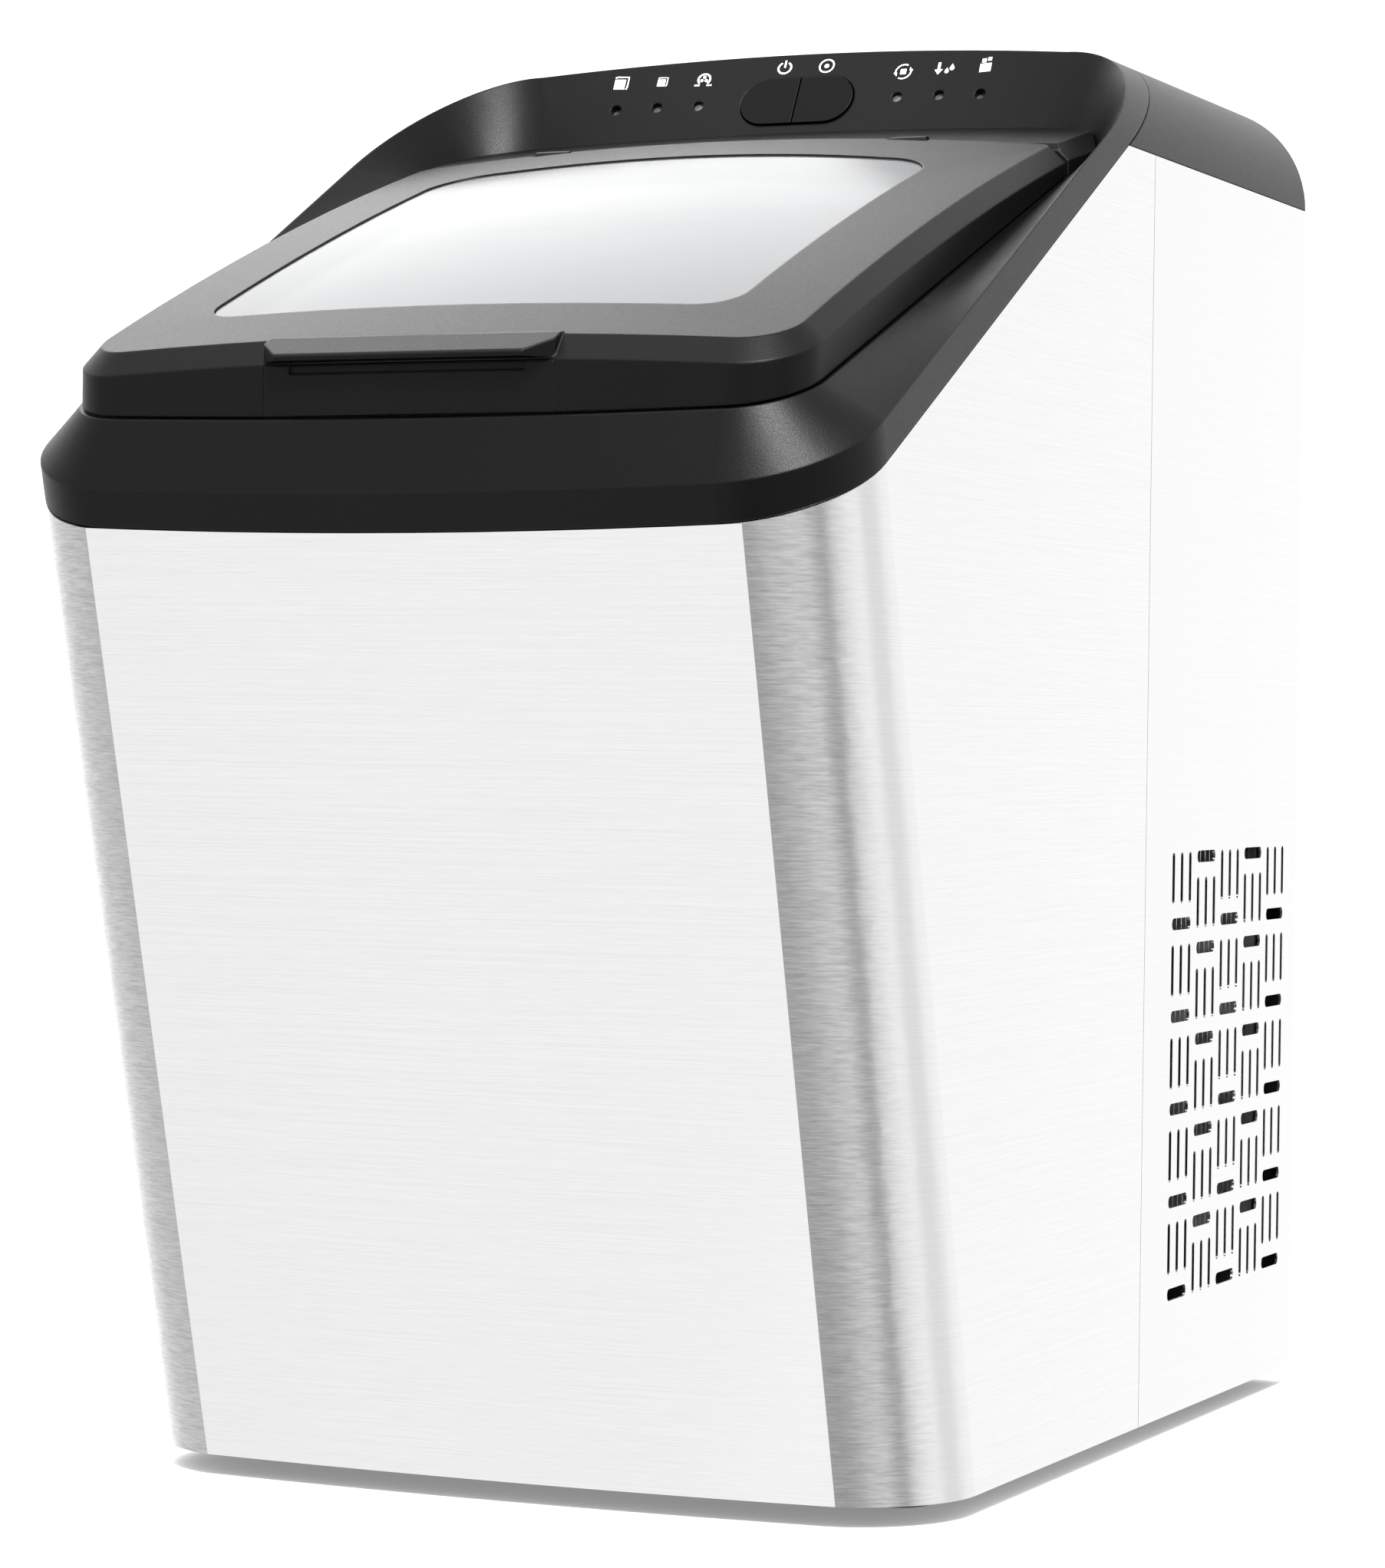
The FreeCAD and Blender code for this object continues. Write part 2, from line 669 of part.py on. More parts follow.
def lid_frame():
    wall = SHELL
    rings = [
        ring(lid_outline(), deck(0.7), STEPS),
        ring(lid_outline(), lid_top(-LID_CHAMFER + 0.4), STEPS),
        ring(lid_outline(LID_CHAMFER, 0.4), lid_top(), STEPS),
        ring(window_outline(), lid_top(), STEPS),
        ring(window_outline(), lid_top(-wall), STEPS),
        ring(lid_outline(LID_CHAMFER + 1.0, wall), lid_top(-wall), STEPS),
        ring(lid_outline(wall, wall), lid_top(-LID_CHAMFER - 1.4), STEPS),
        ring(lid_outline(wall, wall), deck(0.7), STEPS),
    ]
    frame = solid_from_rings(rings)
    notches = []
    for side in (-1, 1):
        notches.append(hinge_rod(side * (KNUCKLE[0] - 0.8), side * (KNUCKLE[1] + 0.8), KNUCKLE_R + 0.4))
    insert = box(-LIP_HALF_W, LIP_HALF_W, LID_FRONT_Y - 3, LID_FRONT_Y + GRIP_DEPTH, 280, GRIP_TOP_Z + 0.2)
    frame = cut(frame, notches + [insert])
    barrel = hinge_rod(-KNUCKLE[0] + 0.8, KNUCKLE[0] - 0.8, BARREL_R)
    frame = fuse([frame, barrel, handle_lip()])
    return frame.cut(hinge_rod(-KNUCKLE[0], KNUCKLE[0], PIN_R + 0.06))


def handle_lip():
    """Finger lip at the front of the lid: tapered in plan, drooping a little, with gusset ends."""
    root = LID_FRONT_Y + LID_CHAMFER
    top = lid_top()(0, root)
    tip = LIP_FRONT_Y
    profile = [(root + 2.0, top + LID_SLOPE * 0.9), (root, top), (tip + 0.6, top - 4.9), (tip, top - 5.6),
               (tip + 0.5, top - 6.7), (root - 3.0, top - 7.0), (root + 2.0, top - 6.0)]
    lip = prism_x(profile, -LIP_HALF_W, LIP_HALF_W)
    plan = [(-LIP_HALF_W, root + 3), (-LIP_HALF_W, root - 3.4), (-LIP_TIP_HALF_W, tip - 0.5),
            (LIP_TIP_HALF_W, tip - 0.5), (LIP_HALF_W, root - 3.4), (LIP_HALF_W, root + 3)]
    return lip.common(prism_z(plan, 280, 330))


def lid_grip_panel():
    """The insert in the lid's bowed front wall, with a finger groove right under the lip."""
    x = LIP_HALF_W - 0.12
    low = deck(1.0)(0, LID_FRONT_Y)
    front = LID_FRONT_Y - 3.0
    panel = box(-x, x, front, LID_FRONT_Y + GRIP_DEPTH - 0.1, low, GRIP_TOP_Z)
    panel = panel.common(upright(lid_outline(0.1)))
    groove = box(-34, 34, front, LID_FRONT_Y + 3.0, GRIP_TOP_Z - 2.4, GRIP_TOP_Z + 1.0)
    return panel.cut(groove.cut(upright(lid_outline(0.9))))


def curved_slab(offset, thickness):
    """A wide slab whose upper face follows the lid top, moved up by the offset."""
    half_x = HALF_W
    y0 = LID_FRONT_Y - 10.0
    y1 = LID_REAR_Y + 10.0
    edge = -LID_CROWN * (half_x / 102.0) ** 2
    across = [edge, -edge, edge]
    height = lid_top(offset)
    start = height(0, y0)
    slope = LID_SLOPE - 2 * LID_ARCH * y0
    along = [start, start + slope * (y1 - y0) / 2, height(0, y1)]
    surface = Part.BezierSurface()
    surface.increase(2, 2)
    for i in range(3):
        for j in range(3):
            x = half_x * (i - 1)
            y = y0 + (y1 - y0) * j / 2
            surface.setPole(i + 1, j + 1, V(x, y, across[i] + along[j]))
    slab = surface.toShape().extrude(V(0, 0, -thickness))
    if slab.Volume < 0:
        slab.reverse()
    return slab


def upright(stretches):
    return flat_cap(ring(stretches, level(200.0))).extrude(V(0, 0, 300.0))


def lid_window():
    pane = curved_slab(-0.5, SHELL).common(upright(window_outline(-0.25)))
    edge = curved_slab(-SHELL - 0.15, 1.8).common(upright(window_outline(4.0)))
    return fuse([pane, edge])


def lid_liner():
    outer = outline(LID_HALF_W - 3.2, LID_FRONT_Y + 8.2, LID_REAR_Y - 3.2, 15.0, 3.0, 3.0)
    inner = outline(WINDOW_HALF_W + 2, WINDOW_FRONT_Y - 2, WINDOW_REAR_Y - 2, 12.0, 12.0, 1.8)
    rings = [
        ring(outer, deck(1.4)),
        ring(outer, deck(3.2)),
        ring(inner, deck(3.2)),
        ring(inner, deck(1.4)),
    ]
    return solid_from_rings(rings)


def lid_seal():
    def loop(grow):
        return outline(OPENING_HALF_W + grow, OPENING_FRONT_Y - grow * 0.4, OPENING_REAR_Y + grow, 15.0, 12.0, 2.5)
    rings = [
        ring(loop(2.0), deck(0.35)),
        ring(loop(2.0), deck(1.3)),
        ring(loop(5.0), deck(1.3)),
        ring(loop(5.0), deck(0.35)),
    ]
    return solid_from_rings(rings)


# ---------------------------------------------------------------- controls
def button(side):
    cap = stadium(BUTTON_HALF_W, BUTTON_R, -4.6, 0.8)
    flange = stadium(BUTTON_HALF_W + 2.0, BUTTON_R + 2.0, -8.0, -6.2)
    stem = stadium(BUTTON_HALF_W - 3.0, BUTTON_R - 3.0, -10.0, -4.0)
    body = fuse([cap, stadium(BUTTON_HALF_W - 0.6, BUTTON_R - 0.6, -6.5, -4.0), flange, stem])
    split = 0.3
    keep = box(split, BIG, -BIG, BIG, 0, BIG) if side > 0 else box(-BIG, -split, -BIG, BIG, 0, BIG)
    return body.common(keep)


def indicator_lenses():
    lenses = []
    for x in led_positions():
        stem = led_axis(x, LED_R, -8.0, -0.9)
        collar = led_axis(x, 2.6, -9.5, -7.0)
        lenses.append(fuse([stem, collar]))
    return Part.makeCompound(lenses)


def control_board():
    """Circuit board behind the control face, with a key switch under each button."""
    board = panel_slab(-72, 72, 6.0, 30.0, -15.0, -13.4)
    parts = [board]
    for x in (-9.5, 9.5):
        parts.append(panel_slab(x - 3, x + 3, BUTTON_DOWN - 3, BUTTON_DOWN + 3, -13.5, -11.6))
    for x in led_positions():
        parts.append(panel_slab(x - 1.6, x + 1.6, LED_DOWN - 1.2, LED_DOWN + 1.2, -13.5, -10.2))
    parts.append(panel_slab(-66, -52, 24.0, 29.0, -20.0, -14.9))
    return fuse(parts)


# ---------------------------------------------------------------- tank, basket and scoop
TUB_FLOOR_Z = 134.0
TUB_WALL = 2.5


def tub_outline(half, front, rear, inset=0.0):
    return outline(half - inset, front + inset, rear - inset, 15.0 - inset, 12.0 - inset, 2.5)


def inner_tub():
    """Moulded tank: water below, basket and freezing parts above, open to the lid."""
    t = TUB_WALL
    top = deck(-SHELL - 0.2)
    rings = [
        ring(tub_outline(90.0, -146.0, -12.0), level(TUB_FLOOR_Z)),
        ring(tub_outline(94.5, -184.5, -12.0), top),
        ring(tub_outline(94.5, -184.5, -12.0, t), top),
        ring(tub_outline(90.0, -146.0, -12.0, t), level(TUB_FLOOR_Z + t)),
    ]
    tub = solid_from_rings(rings, (flat_cap, flat_cap))
    ledge_z = BASKET_TOP_Z - 4.1
    ledges = []
    for s in (-1, 1):
        x0, x1 = sorted((s * 79.5, s * 91.5))
        ledges.append(box(x0, x1, -142, -114, ledge_z - 4.0, ledge_z))
    motor_pad = box(91.5, 97.4, TRAY_Y - 31, TRAY_Y + 31, TRAY_Z - 8, TRAY_Z + 8)
    bracket_pads = [box(s * 91.5 - 1.4, s * 91.5 + 1.4, -62, -42, 310, 317.9) for s in (-1, 1)]
    holes = [rod((70, TRAY_Y, TRAY_Z), (110, TRAY_Y, TRAY_Z), 4.6)]
    holes += [rod((90, TRAY_Y + d, TRAY_Z), (110, TRAY_Y + d, TRAY_Z), 1.7) for d in (-27, 27)]
    holes.append(rod((-50, -70, 120), (-50, -70, 150), 5.9))
    holes.append(rod((55, -90, 120), (55, -90, 150), 4.3))
    holes.append(rod((-58, -30, FILL_Z), (-58, 0, FILL_Z), 4.3))
    holes.append(rod((-TUBE_X, -30, TUBE_Z), (-TUBE_X, 0, TUBE_Z), 3.6))
    holes.append(rod((TUBE_X, -30, TUBE_Z), (TUBE_X, 0, TUBE_Z), 2.0))
    return cut(fuse([tub, motor_pad] + ledges + bracket_pads), holes)


def foam_insulation():
    rings = [
        ring(tub_outline(99.5, -153.0, -3.5), level(TUB_FLOOR_Z - 0.3)),
        ring(tub_outline(103.0, -183.0, -3.5), level(236.0)),
        ring(tub_outline(94.5, -173.0, -11.6), level(236.0)),
        ring(tub_outline(90.9, -147.5, -11.6), level(TUB_FLOOR_Z - 0.3)),
    ]
    return solid_from_rings(rings)


BASKET_FLOOR_Z = 195.0
BASKET_TOP_Z = 262.0


def basket_outline(inset=0.0):
    return outline(76.0 - inset, -161.0 + inset, -101.0 - inset, 10.0 - inset, 8.0 - inset)


def low_basket_outline(inset=0.0):
    return outline(73.0 - inset, -148.0 + inset, -103.0 - inset, 9.0 - inset, 7.0 - inset)


def ice_basket():
    t = 2.0
    rings = [
        ring(low_basket_outline(), level(BASKET_FLOOR_Z)),
        ring(basket_outline(), level(BASKET_TOP_Z)),
        ring(basket_outline(t), level(BASKET_TOP_Z)),
        ring(low_basket_outline(t), level(BASKET_FLOOR_Z + t)),
    ]
    body = solid_from_rings(rings, (flat_cap, flat_cap))
    slots = []
    for i in range(-6, 7):
        x = i * 10.0
        slots.append(box(x - 2.0, x + 2.0, -139, -109, BASKET_FLOOR_Z - 1, BASKET_FLOOR_Z + 3))
        slots.append(box(x - 2.0, x + 2.0, -170, -95, 212, 246))
    ears = [rounded_box(s * 80 - 6, s * 80 + 6, -140, -116, 258, 262, 3.0) for s in (-1, 1)]
    return cut(fuse([body] + ears), slots)


def ice_scoop():
    """Small scoop lying in the basket: an open bowl and a flat handle."""
    z = BASKET_FLOOR_Z + 2.6
    bowl = rounded_box(-48, 4, -141, -107, z, z + 22, 7.0)
    hollow = rounded_box(-46.2, 30, -139.2, -108.8, z + 1.8, z + 50, 5.5)
    mouth = prism_x([(-160, 150), (-160, 300), (-90, 300), (-90, 150)], 2.0, 30)
    bowl = bowl.cut(hollow).cut(mouth)
    handle = rounded_box(-2, 58, -130, -118, z + 0.2, z + 4.2, 1.2, "x")
    tip = rod((58, -124, z + 0.2), (58, -124, z + 4.2), 6.0)
    back = box(0.2, 2.2, -141, -107, z, z + 16)
    hole = rod((56, -124, z - 1), (56, -124, z + 8), 2.2)
    return fuse([bowl, handle, tip, back]).cut(hole)


# ---------------------------------------------------------------- ice making
TRAY_Y = -50.0          # tray pivot
TRAY_Z = 296.0
FINGER_Y = -75.0
FINGER_X = [i * 15.5 for i in range(-4, 5)]
HEADER_Z = 316.0
TUBE_X = 64.0           # where the refrigerant tubes join the header
TUBE_Z = HEADER_Z
FILL_Z = 304.0          # mouth of the fill hose


def evaporator():
    """Refrigerant header with nine closed freezing fingers hanging from it."""
    header = rod((-73, FINGER_Y, HEADER_Z), (73, FINGER_Y, HEADER_Z), 5.0)
    fingers = []
    for x in FINGER_X:
        fingers.append(Part.makeCylinder(4.6, 36, V(x, FINGER_Y, 280)))
        fingers.append(Part.makeSphere(4.6, V(x, FINGER_Y, 280)))
    return fuse([header] + fingers)


def evaporator_bracket():
    """Two side plates hung in the tub, with runners for the pusher and blocks for the header."""
    parts = []
    for s in (-1, 1):
        x0, x1 = sorted((s * 81.0, s * 84.0))
        plate = [(-86, 301), (-86, 324), (-40, 332), (-34, 320), (-34, 301), (-42, 287), (-60, 287), (-66, 301)]
        parts.append(prism_x(plate, x0, x1))
        x2, x3 = sorted((s * 67.6, s * 82.0))
        parts.append(box(x2, x3, FINGER_Y - 7, FINGER_Y + 7, 310.6, 324))
        x4, x5 = sorted((s * 75.6, s * 82.0))
        parts.append(box(x4, x5, -86, -34, 301.6, 303.5))
        x6, x7 = sorted((s * 83.0, s * 91.1))
        parts.append(box(x6, x7, -60, -44, 318, 322))
    bar = box(-84, 84, -46, -43, 322, 330)
    bracket = fuse(parts + [bar])
    header = rod((-74, FINGER_Y, HEADER_Z), (74, FINGER_Y, HEADER_Z), 5.05)
    journals = rod((-95, TRAY_Y, TRAY_Z), (95, TRAY_Y, TRAY_Z), 4.05)
    return cut(bracket, [header, journals])


def water_tray():
    """Open trough that lifts water around the fingers and tips back to drop it."""
    outer = rounded_box(-73, 73, -92, -58, 264, 299, 6.0, "x")
    outer = outer.common(box(-73, 73, -92, -58, 264, 294))
    inner = rounded_box(-71, 71, -90, -60, 266, 330, 5.0, "x")
    trough = outer.cut(inner)
    ends = []
    for s in (-1, 1):
        x0, x1 = sorted((s * 71.0, s * 73.0))
        arm = prism_x([(-92, 280), (-92, 294), (-58, 300), (-46, 301), (-45, 292), (-58, 280)], x0, x1)
        ends.append(arm)
        journal_end = s * (99.0 if s > 0 else 90.0)
        ends.append(rod((s * 71.5, TRAY_Y, TRAY_Z), (journal_end, TRAY_Y, TRAY_Z), 4.0))
    return fuse([trough] + ends)


def ice_pusher():
    """Comb that slides forward between the fingers and clears the ice into the basket."""
    plate = box(-68, 68, -66, -36, 303.6, 306.2)
    slots = [box(x - 5.6, x + 5.6, -70, -40.5, 300, 310) for x in FINGER_X]
    comb = cut(plate, slots)
    rails = []
    for s in (-1, 1):
        x0, x1 = sorted((s * 66.8, s * 80.6))
        rails.append(box(x0, x1, -66, -32, 303.6, 306.2))
        x2, x3 = sorted((s * 76.4, s * 78.6))
        rails.append(box(x2, x3, -66, -32, 306.0, 309.2))
    return fuse([comb] + rails)


def tray_gearmotor():
    """Slow motor on the outside of the tub that tips the tray."""
    body = rod((97.6, TRAY_Y, TRAY_Z), (115.0, TRAY_Y, TRAY_Z), 23.0)
    ears = rounded_box(97.6, 99.6, TRAY_Y - 31, TRAY_Y + 31, TRAY_Z - 7, TRAY_Z + 7, 5.0, "x")
    motor = fuse([body, ears])
    bore = rod((90, TRAY_Y, TRAY_Z), (108.0, TRAY_Y, TRAY_Z), 4.06)
    holes = [rod((90, TRAY_Y + d, TRAY_Z), (110, TRAY_Y + d, TRAY_Z), 1.8) for d in (-27, 27)]
    return cut(motor, [bore] + holes)


def ice_level_sensors():
    """Light-beam pair either side of the basket."""
    parts = []
    for s in (-1, 1):
        x0, x1 = sorted((s * 84.2, s * 90.6))
        head = rounded_box(x0, x1, -161, -147, 268, 278, 1.5, "x")
        parts.append(head.fuse(rod((s * 82.6, -154, 273), (s * 84.4, -154, 273), 2.4)))
    return Part.makeCompound(parts)


# ---------------------------------------------------------------- water
def water_pump():
    body = rod((-58, -70, 88), (-58, -70, 122), 19.0)
    motor = rod((-58, -70, 62), (-58, -70, 88), 15.0)
    inlet = rod((-50, -70, 121), (-50, -70, 128), 4.2)
    outlet = rod((-58, -56, 104), (-58, -44, 104), 4.2)
    foot = box(-76, -40, -84, -56, 58, 62)
    legs = [box(x - 2, x + 2, -84, -56, ON_PAN_Z, 60) for x in (-74, -42)]
    return fuse([body, motor, inlet, outlet, foot] + legs)


def pump_inlet_hose():
    outer = rod((-50, -70, 122.5), (-50, -70, 138.0), 5.6)
    return outer.cut(rod((-50, -70, 120), (-50, -70, 140), 4.5))


def tray_fill_hose():
    """From the pump up behind the tub and through its rear wall to the tray."""
    path = [(-58, -43.7, 104), (-58, 2.5, 104), (-58, 2.5, FILL_Z), (-58, -20.0, FILL_Z)]
    return tube(path, 4.0, 10.0)


def drain_hose():
    x, z = DRAIN
    side = -100.0
    path = [(55, -90, 138.0), (55, -90, z), (side, -90, z), (side, 150, z), (x, 168, z), (x, REAR_Y - 18.5, z)]
    return tube(path, 4.0, 14.0)


def drain_spout():
    x, z = DRAIN
    inside = REAR_Y - SHEET - 0.15
    flange = rod((x, inside - 1.7, z), (x, inside, z), 15.0)
    pipe = rod((x, REAR_Y - 18.0, z), (x, REAR_Y + 6.0, z), SPOUT_R)
    bore = rod((x, REAR_Y - 20.0, z), (x, REAR_Y + 8.0, z), 6.0)
    return fuse([flange, pipe]).cut(bore)


REAR_REACH = 8.0        # how far the drain cap stands behind the rear wall


def drain_cap():
    x, z = DRAIN
    cap = rod((x, REAR_Y + 0.6, z), (x, REAR_Y + REAR_REACH, z), 12.5)
    hollow = rod((x, REAR_Y, z), (x, REAR_Y + 6.2, z), 9.3)
    plug = rod((x, REAR_Y - 4.0, z), (x, REAR_Y + 7.0, z), 5.6)
    grips = []
    for i in range(16):
        angle = 2 * math.pi * i / 16
        gx = x + 12.7 * math.cos(angle)
        gz = z + 12.7 * math.sin(angle)
        grips.append(rod((gx, REAR_Y, gz), (gx, REAR_Y + 13, gz), 1.1))
    return cut(fuse([cap.cut(hollow), plug]), grips)


# ---------------------------------------------------------------- refrigeration
COMPRESSOR = (-42.0, 112.0)
COMPRESSOR_R = 54.0
CONDENSER_X = (86.0, 112.0)
CONDENSER_Y = (64.0, 186.0)
CONDENSER_Z = (42.0, 180.0)
COIL_ROWS = 6
COIL_PITCH = 22.0
COIL_FIRST = 14.0       # lowest coil run above the foot of the fins
COIL_INSET = 7.0
FAN = (128.0, 111.0)    # fan axis, (y, z)
FAN_R = 48.5
DRIER = (52.0, 36.0)    # filter drier in plan


def compressor():
    """Sealed shell of two drawn halves with a weld belt, terminal box and stub tubes."""
    x, y = COMPRESSOR
    r = COMPRESSOR_R
    shell = Part.makeCylinder(r, 126, V(x, y, 26))
    rims = [edge for edge in shell.Edges if edge.Length > 4 * r and edge.BoundBox.ZLength < 1]
    shell = shell.makeFillet(26.0, rims)
    belt = Part.makeCylinder(r + 2.2, 5, V(x, y, 92))
    terminal = box(x + r - 8, x + r + 14, y - 18, y + 18, 96, 128)
    stubs = [rod((x, y, 150), (x, y, 160), 3.2), rod((x - 26, y, 140), (x - 26, y, 160), 3.2)]
    legs = []
    for angle in (30, 150, 270):
        leg = box(0, r + 8, -9, 9, 24, 27)
        leg.rotate(V(0, 0, 0), V(0, 0, 1), angle)
        leg.translate(V(x, y, 0))
        legs.append(leg)
    body = fuse([shell, belt, terminal] + stubs + legs)
    holes = [Part.makeCylinder(4.0, 20, V(px, py, 15)) for px, py in compressor_feet()]
    return cut(body, holes)


def compressor_feet():
    x, y = COMPRESSOR
    reach = COMPRESSOR_R + 2.0
    feet = []
    for angle in (30, 150, 270):
        a = math.radians(angle)
        feet.append((x + reach * math.cos(a), y + reach * math.sin(a)))
    return feet


def compressor_grommets():
    grommets = []
    for x, y in compressor_feet():
        low = Part.makeCylinder(7.5, 13.9, V(x, y, ON_PAN_Z))
        neck = Part.makeCylinder(3.6, 5.0, V(x, y, 23.5))
        top = Part.makeCylinder(6.5, 3.0, V(x, y, 27.3))
        grommets.append(fuse([low, neck, top]))
    return Part.makeCompound(grommets)


def condenser():
    """Finned coil just inside the side vents."""
    x0, x1 = CONDENSER_X
    y0, y1 = CONDENSER_Y
    z0, z1 = CONDENSER_Z
    low = ON_PAN_Z + 0.05
    plates = [box(x0 - 1.8, x1, y0, y0 + 1.5, low, z1), box(x0 - 1.8, x1, y1 - 1.5, y1, low, z1)]
    fins = []
    count = 26
    for i in range(1, count):
        y = y0 + (y1 - y0) * i / count
        fins.append(box(x0 + 1, x1 - 1, y - 0.35, y + 0.35, z0 + 2, z1 - 2))
    runs = []
    for row in range(COIL_ROWS):
        z = z0 + COIL_FIRST + row * COIL_PITCH
        for x in (x0 + COIL_INSET, x1 - COIL_INSET):
            runs.append(rod((x, y0 - 2, z), (x, y1 + 2, z), 3.5))
    return fuse(plates + fins + runs)


def fan_shroud():
    """Ducted plate between the fan and the condenser."""
    y, z = FAN
    x0 = 66.0
    plate = rounded_box(x0, 84.0, CONDENSER_Y[0], CONDENSER_Y[1], ON_PAN_Z, CONDENSER_Z[1], 4.0, "x")
    pocket = box(x0 + 2.2, 90, CONDENSER_Y[0] + 2, CONDENSER_Y[1] - 2, CONDENSER_Z[0], CONDENSER_Z[1] - 2)
    hole = rod((x0 - 5, y, z), (x0 + 5, y, z), 52.0)
    ring_out = rod((x0 - 14, y, z), (x0 + 1, y, z), 54.0)
    ring_in = rod((x0 - 15, y, z), (x0 + 5, y, z), 52.0)
    shroud = fuse([plate.cut(pocket), ring_out])
    return cut(shroud, [hole, ring_in])


def fan_motor_bracket():
    """Spider across the mouth of the shroud's ring, which carries the motor."""
    y, z = FAN
    x0 = 49.2
    rim = rod((x0, y, z), (x0 + 2.5, y, z), 54.0).cut(rod((x0 - 1, y, z), (x0 + 5, y, z), 50.0))
    arms = []
    for angle in (45, 135, 225, 315):
        arm = box(x0, x0 + 2.5, 15, 51, -3.0, 3.0)
        arm.rotate(V(0, 0, 0), V(1, 0, 0), angle)
        arm.translate(V(0, y, z))
        arms.append(arm)
    hub = rod((x0, y, z), (x0 + 2.5, y, z), 17.5)
    return fuse([rim, hub] + arms).cut(rod((x0 - 5, y, z), (x0 + 5, y, z), 5.0))


def fan_motor():
    y, z = FAN
    body = rod((28, y, z), (49.1, y, z), 17.0)
    shaft = rod((48.8, y, z), (68, y, z), 1.9)
    return fuse([body, shaft])


def fan_rotor():
    """Five-bladed fan turning on the motor shaft."""
    y, z = FAN
    hub = rod((56, y, z), (69, y, z), 12.0)
    blades = []
    for i in range(5):
        blade = box(-1.1, 1.1, -8.0, 8.0, 10.0, FAN_R)
        blade.rotate(V(0, 0, 0), V(0, 0, 1), 62)
        blade = blade.common(rod((-20, 0, 0), (20, 0, 0), FAN_R))
        blade.rotate(V(0, 0, 0), V(1, 0, 0), 72 * i)
        blade.translate(V(63.6, y, z))
        blades.append(blade)
    rotor = fuse([hub] + blades)
    return rotor.cut(rod((50, y, z), (80, y, z), 1.95))


def filter_drier():
    x, y = DRIER
    body = rod((x, y, 70), (x, y, 140), 9.0)
    caps = [Part.makeCone(9.0, 3.0, 9.0, V(x, y, 140)), Part.makeCone(3.0, 9.0, 9.0, V(x, y, 61))]
    return fuse([body] + caps)


def refrigerant_tubes():
    """Copper runs between the compressor, condenser, drier and header."""
    cx, cy = COMPRESSOR
    near = CONDENSER_Y[0] - 2.3
    coil_x = CONDENSER_X[0] + COIL_INSET
    z_low = CONDENSER_Z[0] + COIL_FIRST
    z_high = z_low + (COIL_ROWS - 1) * COIL_PITCH
    over = 208.0
    discharge = tube([(cx, cy, 160.2), (cx, cy, over), (coil_x, cy, over), (coil_x, 50, over),
                      (coil_x, 50, z_high), (coil_x, near, z_high)], 3.0, 9.0)
    dx, dy = DRIER
    step = z_low - 10
    liquid = tube([(coil_x, near, z_low), (coil_x, 48, z_low), (dx, 48, step), (dx, dy, step), (dx, dy, 60.8)],
                  2.6, 5.0)
    join_y = FINGER_Y + 5.1
    capillary = tube([(dx, dy, 149.2), (dx, dy, TUBE_Z), (TUBE_X, dy, TUBE_Z), (TUBE_X, join_y, TUBE_Z)], 1.6, 5.0)
    sx = cx - 26
    low = 190.0
    suction = tube([(-TUBE_X, join_y, TUBE_Z), (-TUBE_X, 30, TUBE_Z), (-TUBE_X, 30, low),
                    (sx, cy - 40, low), (sx, cy, low), (sx, cy, 160.2)], 3.2, 6.6)
    return Part.makeCompound([discharge, liquid, capillary, suction])


def hot_gas_valve():
    """Solenoid valve that sends warm gas to the fingers to free the ice."""
    body = box(12, 34, 20, 34, 226, 238)
    coil = rounded_box(12, 34, 16, 38, 238, 266, 3.0)
    cap = rod((23, 27, 265), (23, 27, 274), 5.0)
    strap = box(18, 28, 33, 61.8, 226, 228.4)
    return fuse([body, coil, cap, strap])


# ---------------------------------------------------------------- electrics
def electronics_tray():
    """Shelf over the machinery that carries the power board."""
    shelf = box(-112, 112, 62, 198, 226, 228.4)
    rim = box(-112, 112, 62, 198, 228, 236).cut(box(-109.6, 109.6, 64.4, 195.6, 220, 240))
    hanger = [box(s * 115.2 - 4.8, s * 115.2 + 4.8, 62, 198, 226, 229) for s in (-1, 1)]
    holes = [rounded_box(x - 3, x + 3, 90, 170, 220, 232, 2.9) for x in (-94, -84, 84, 94)]
    return cut(fuse([shelf, rim] + hanger), holes)


def power_board():
    board = box(-70, 62, 80, 180, 234, 235.6)
    posts = [rod((x, y, 228.45), (x, y, 234.2), 3.0) for x in (-64, 56) for y in (86, 174)]
    parts = [board] + posts
    parts.append(rounded_box(-60, -22, 92, 126, 235, 262, 2.0))
    parts.append(rod((-4, 110, 235), (-4, 110, 258), 9.0))
    parts.append(rod((20, 110, 235), (20, 110, 252), 7.0))
    parts += [box(x, x + 15, 146, 158, 235, 251) for x in (-60, -38, -16)]
    parts.append(box(36, 56, 96, 164, 235, 245))
    return fuse(parts)


def cord_gland():
    """Inlet bush for the power lead in the rear wall."""
    x, z = GLAND
    inner = rod((x, REAR_Y - 9.0, z), (x, REAR_Y - SHEET - 0.1, z), 12.0)
    neck = rod((x, REAR_Y - 3.0, z), (x, REAR_Y + 1.5, z), GLAND_NECK_R)
    outer = rod((x, REAR_Y + 0.1, z), (x, REAR_Y + 4.0, z), 11.5)
    bore = rod((x, REAR_Y - 12, z), (x, REAR_Y + 10, z), 3.8)
    return fuse([inner, neck, outer]).cut(bore)


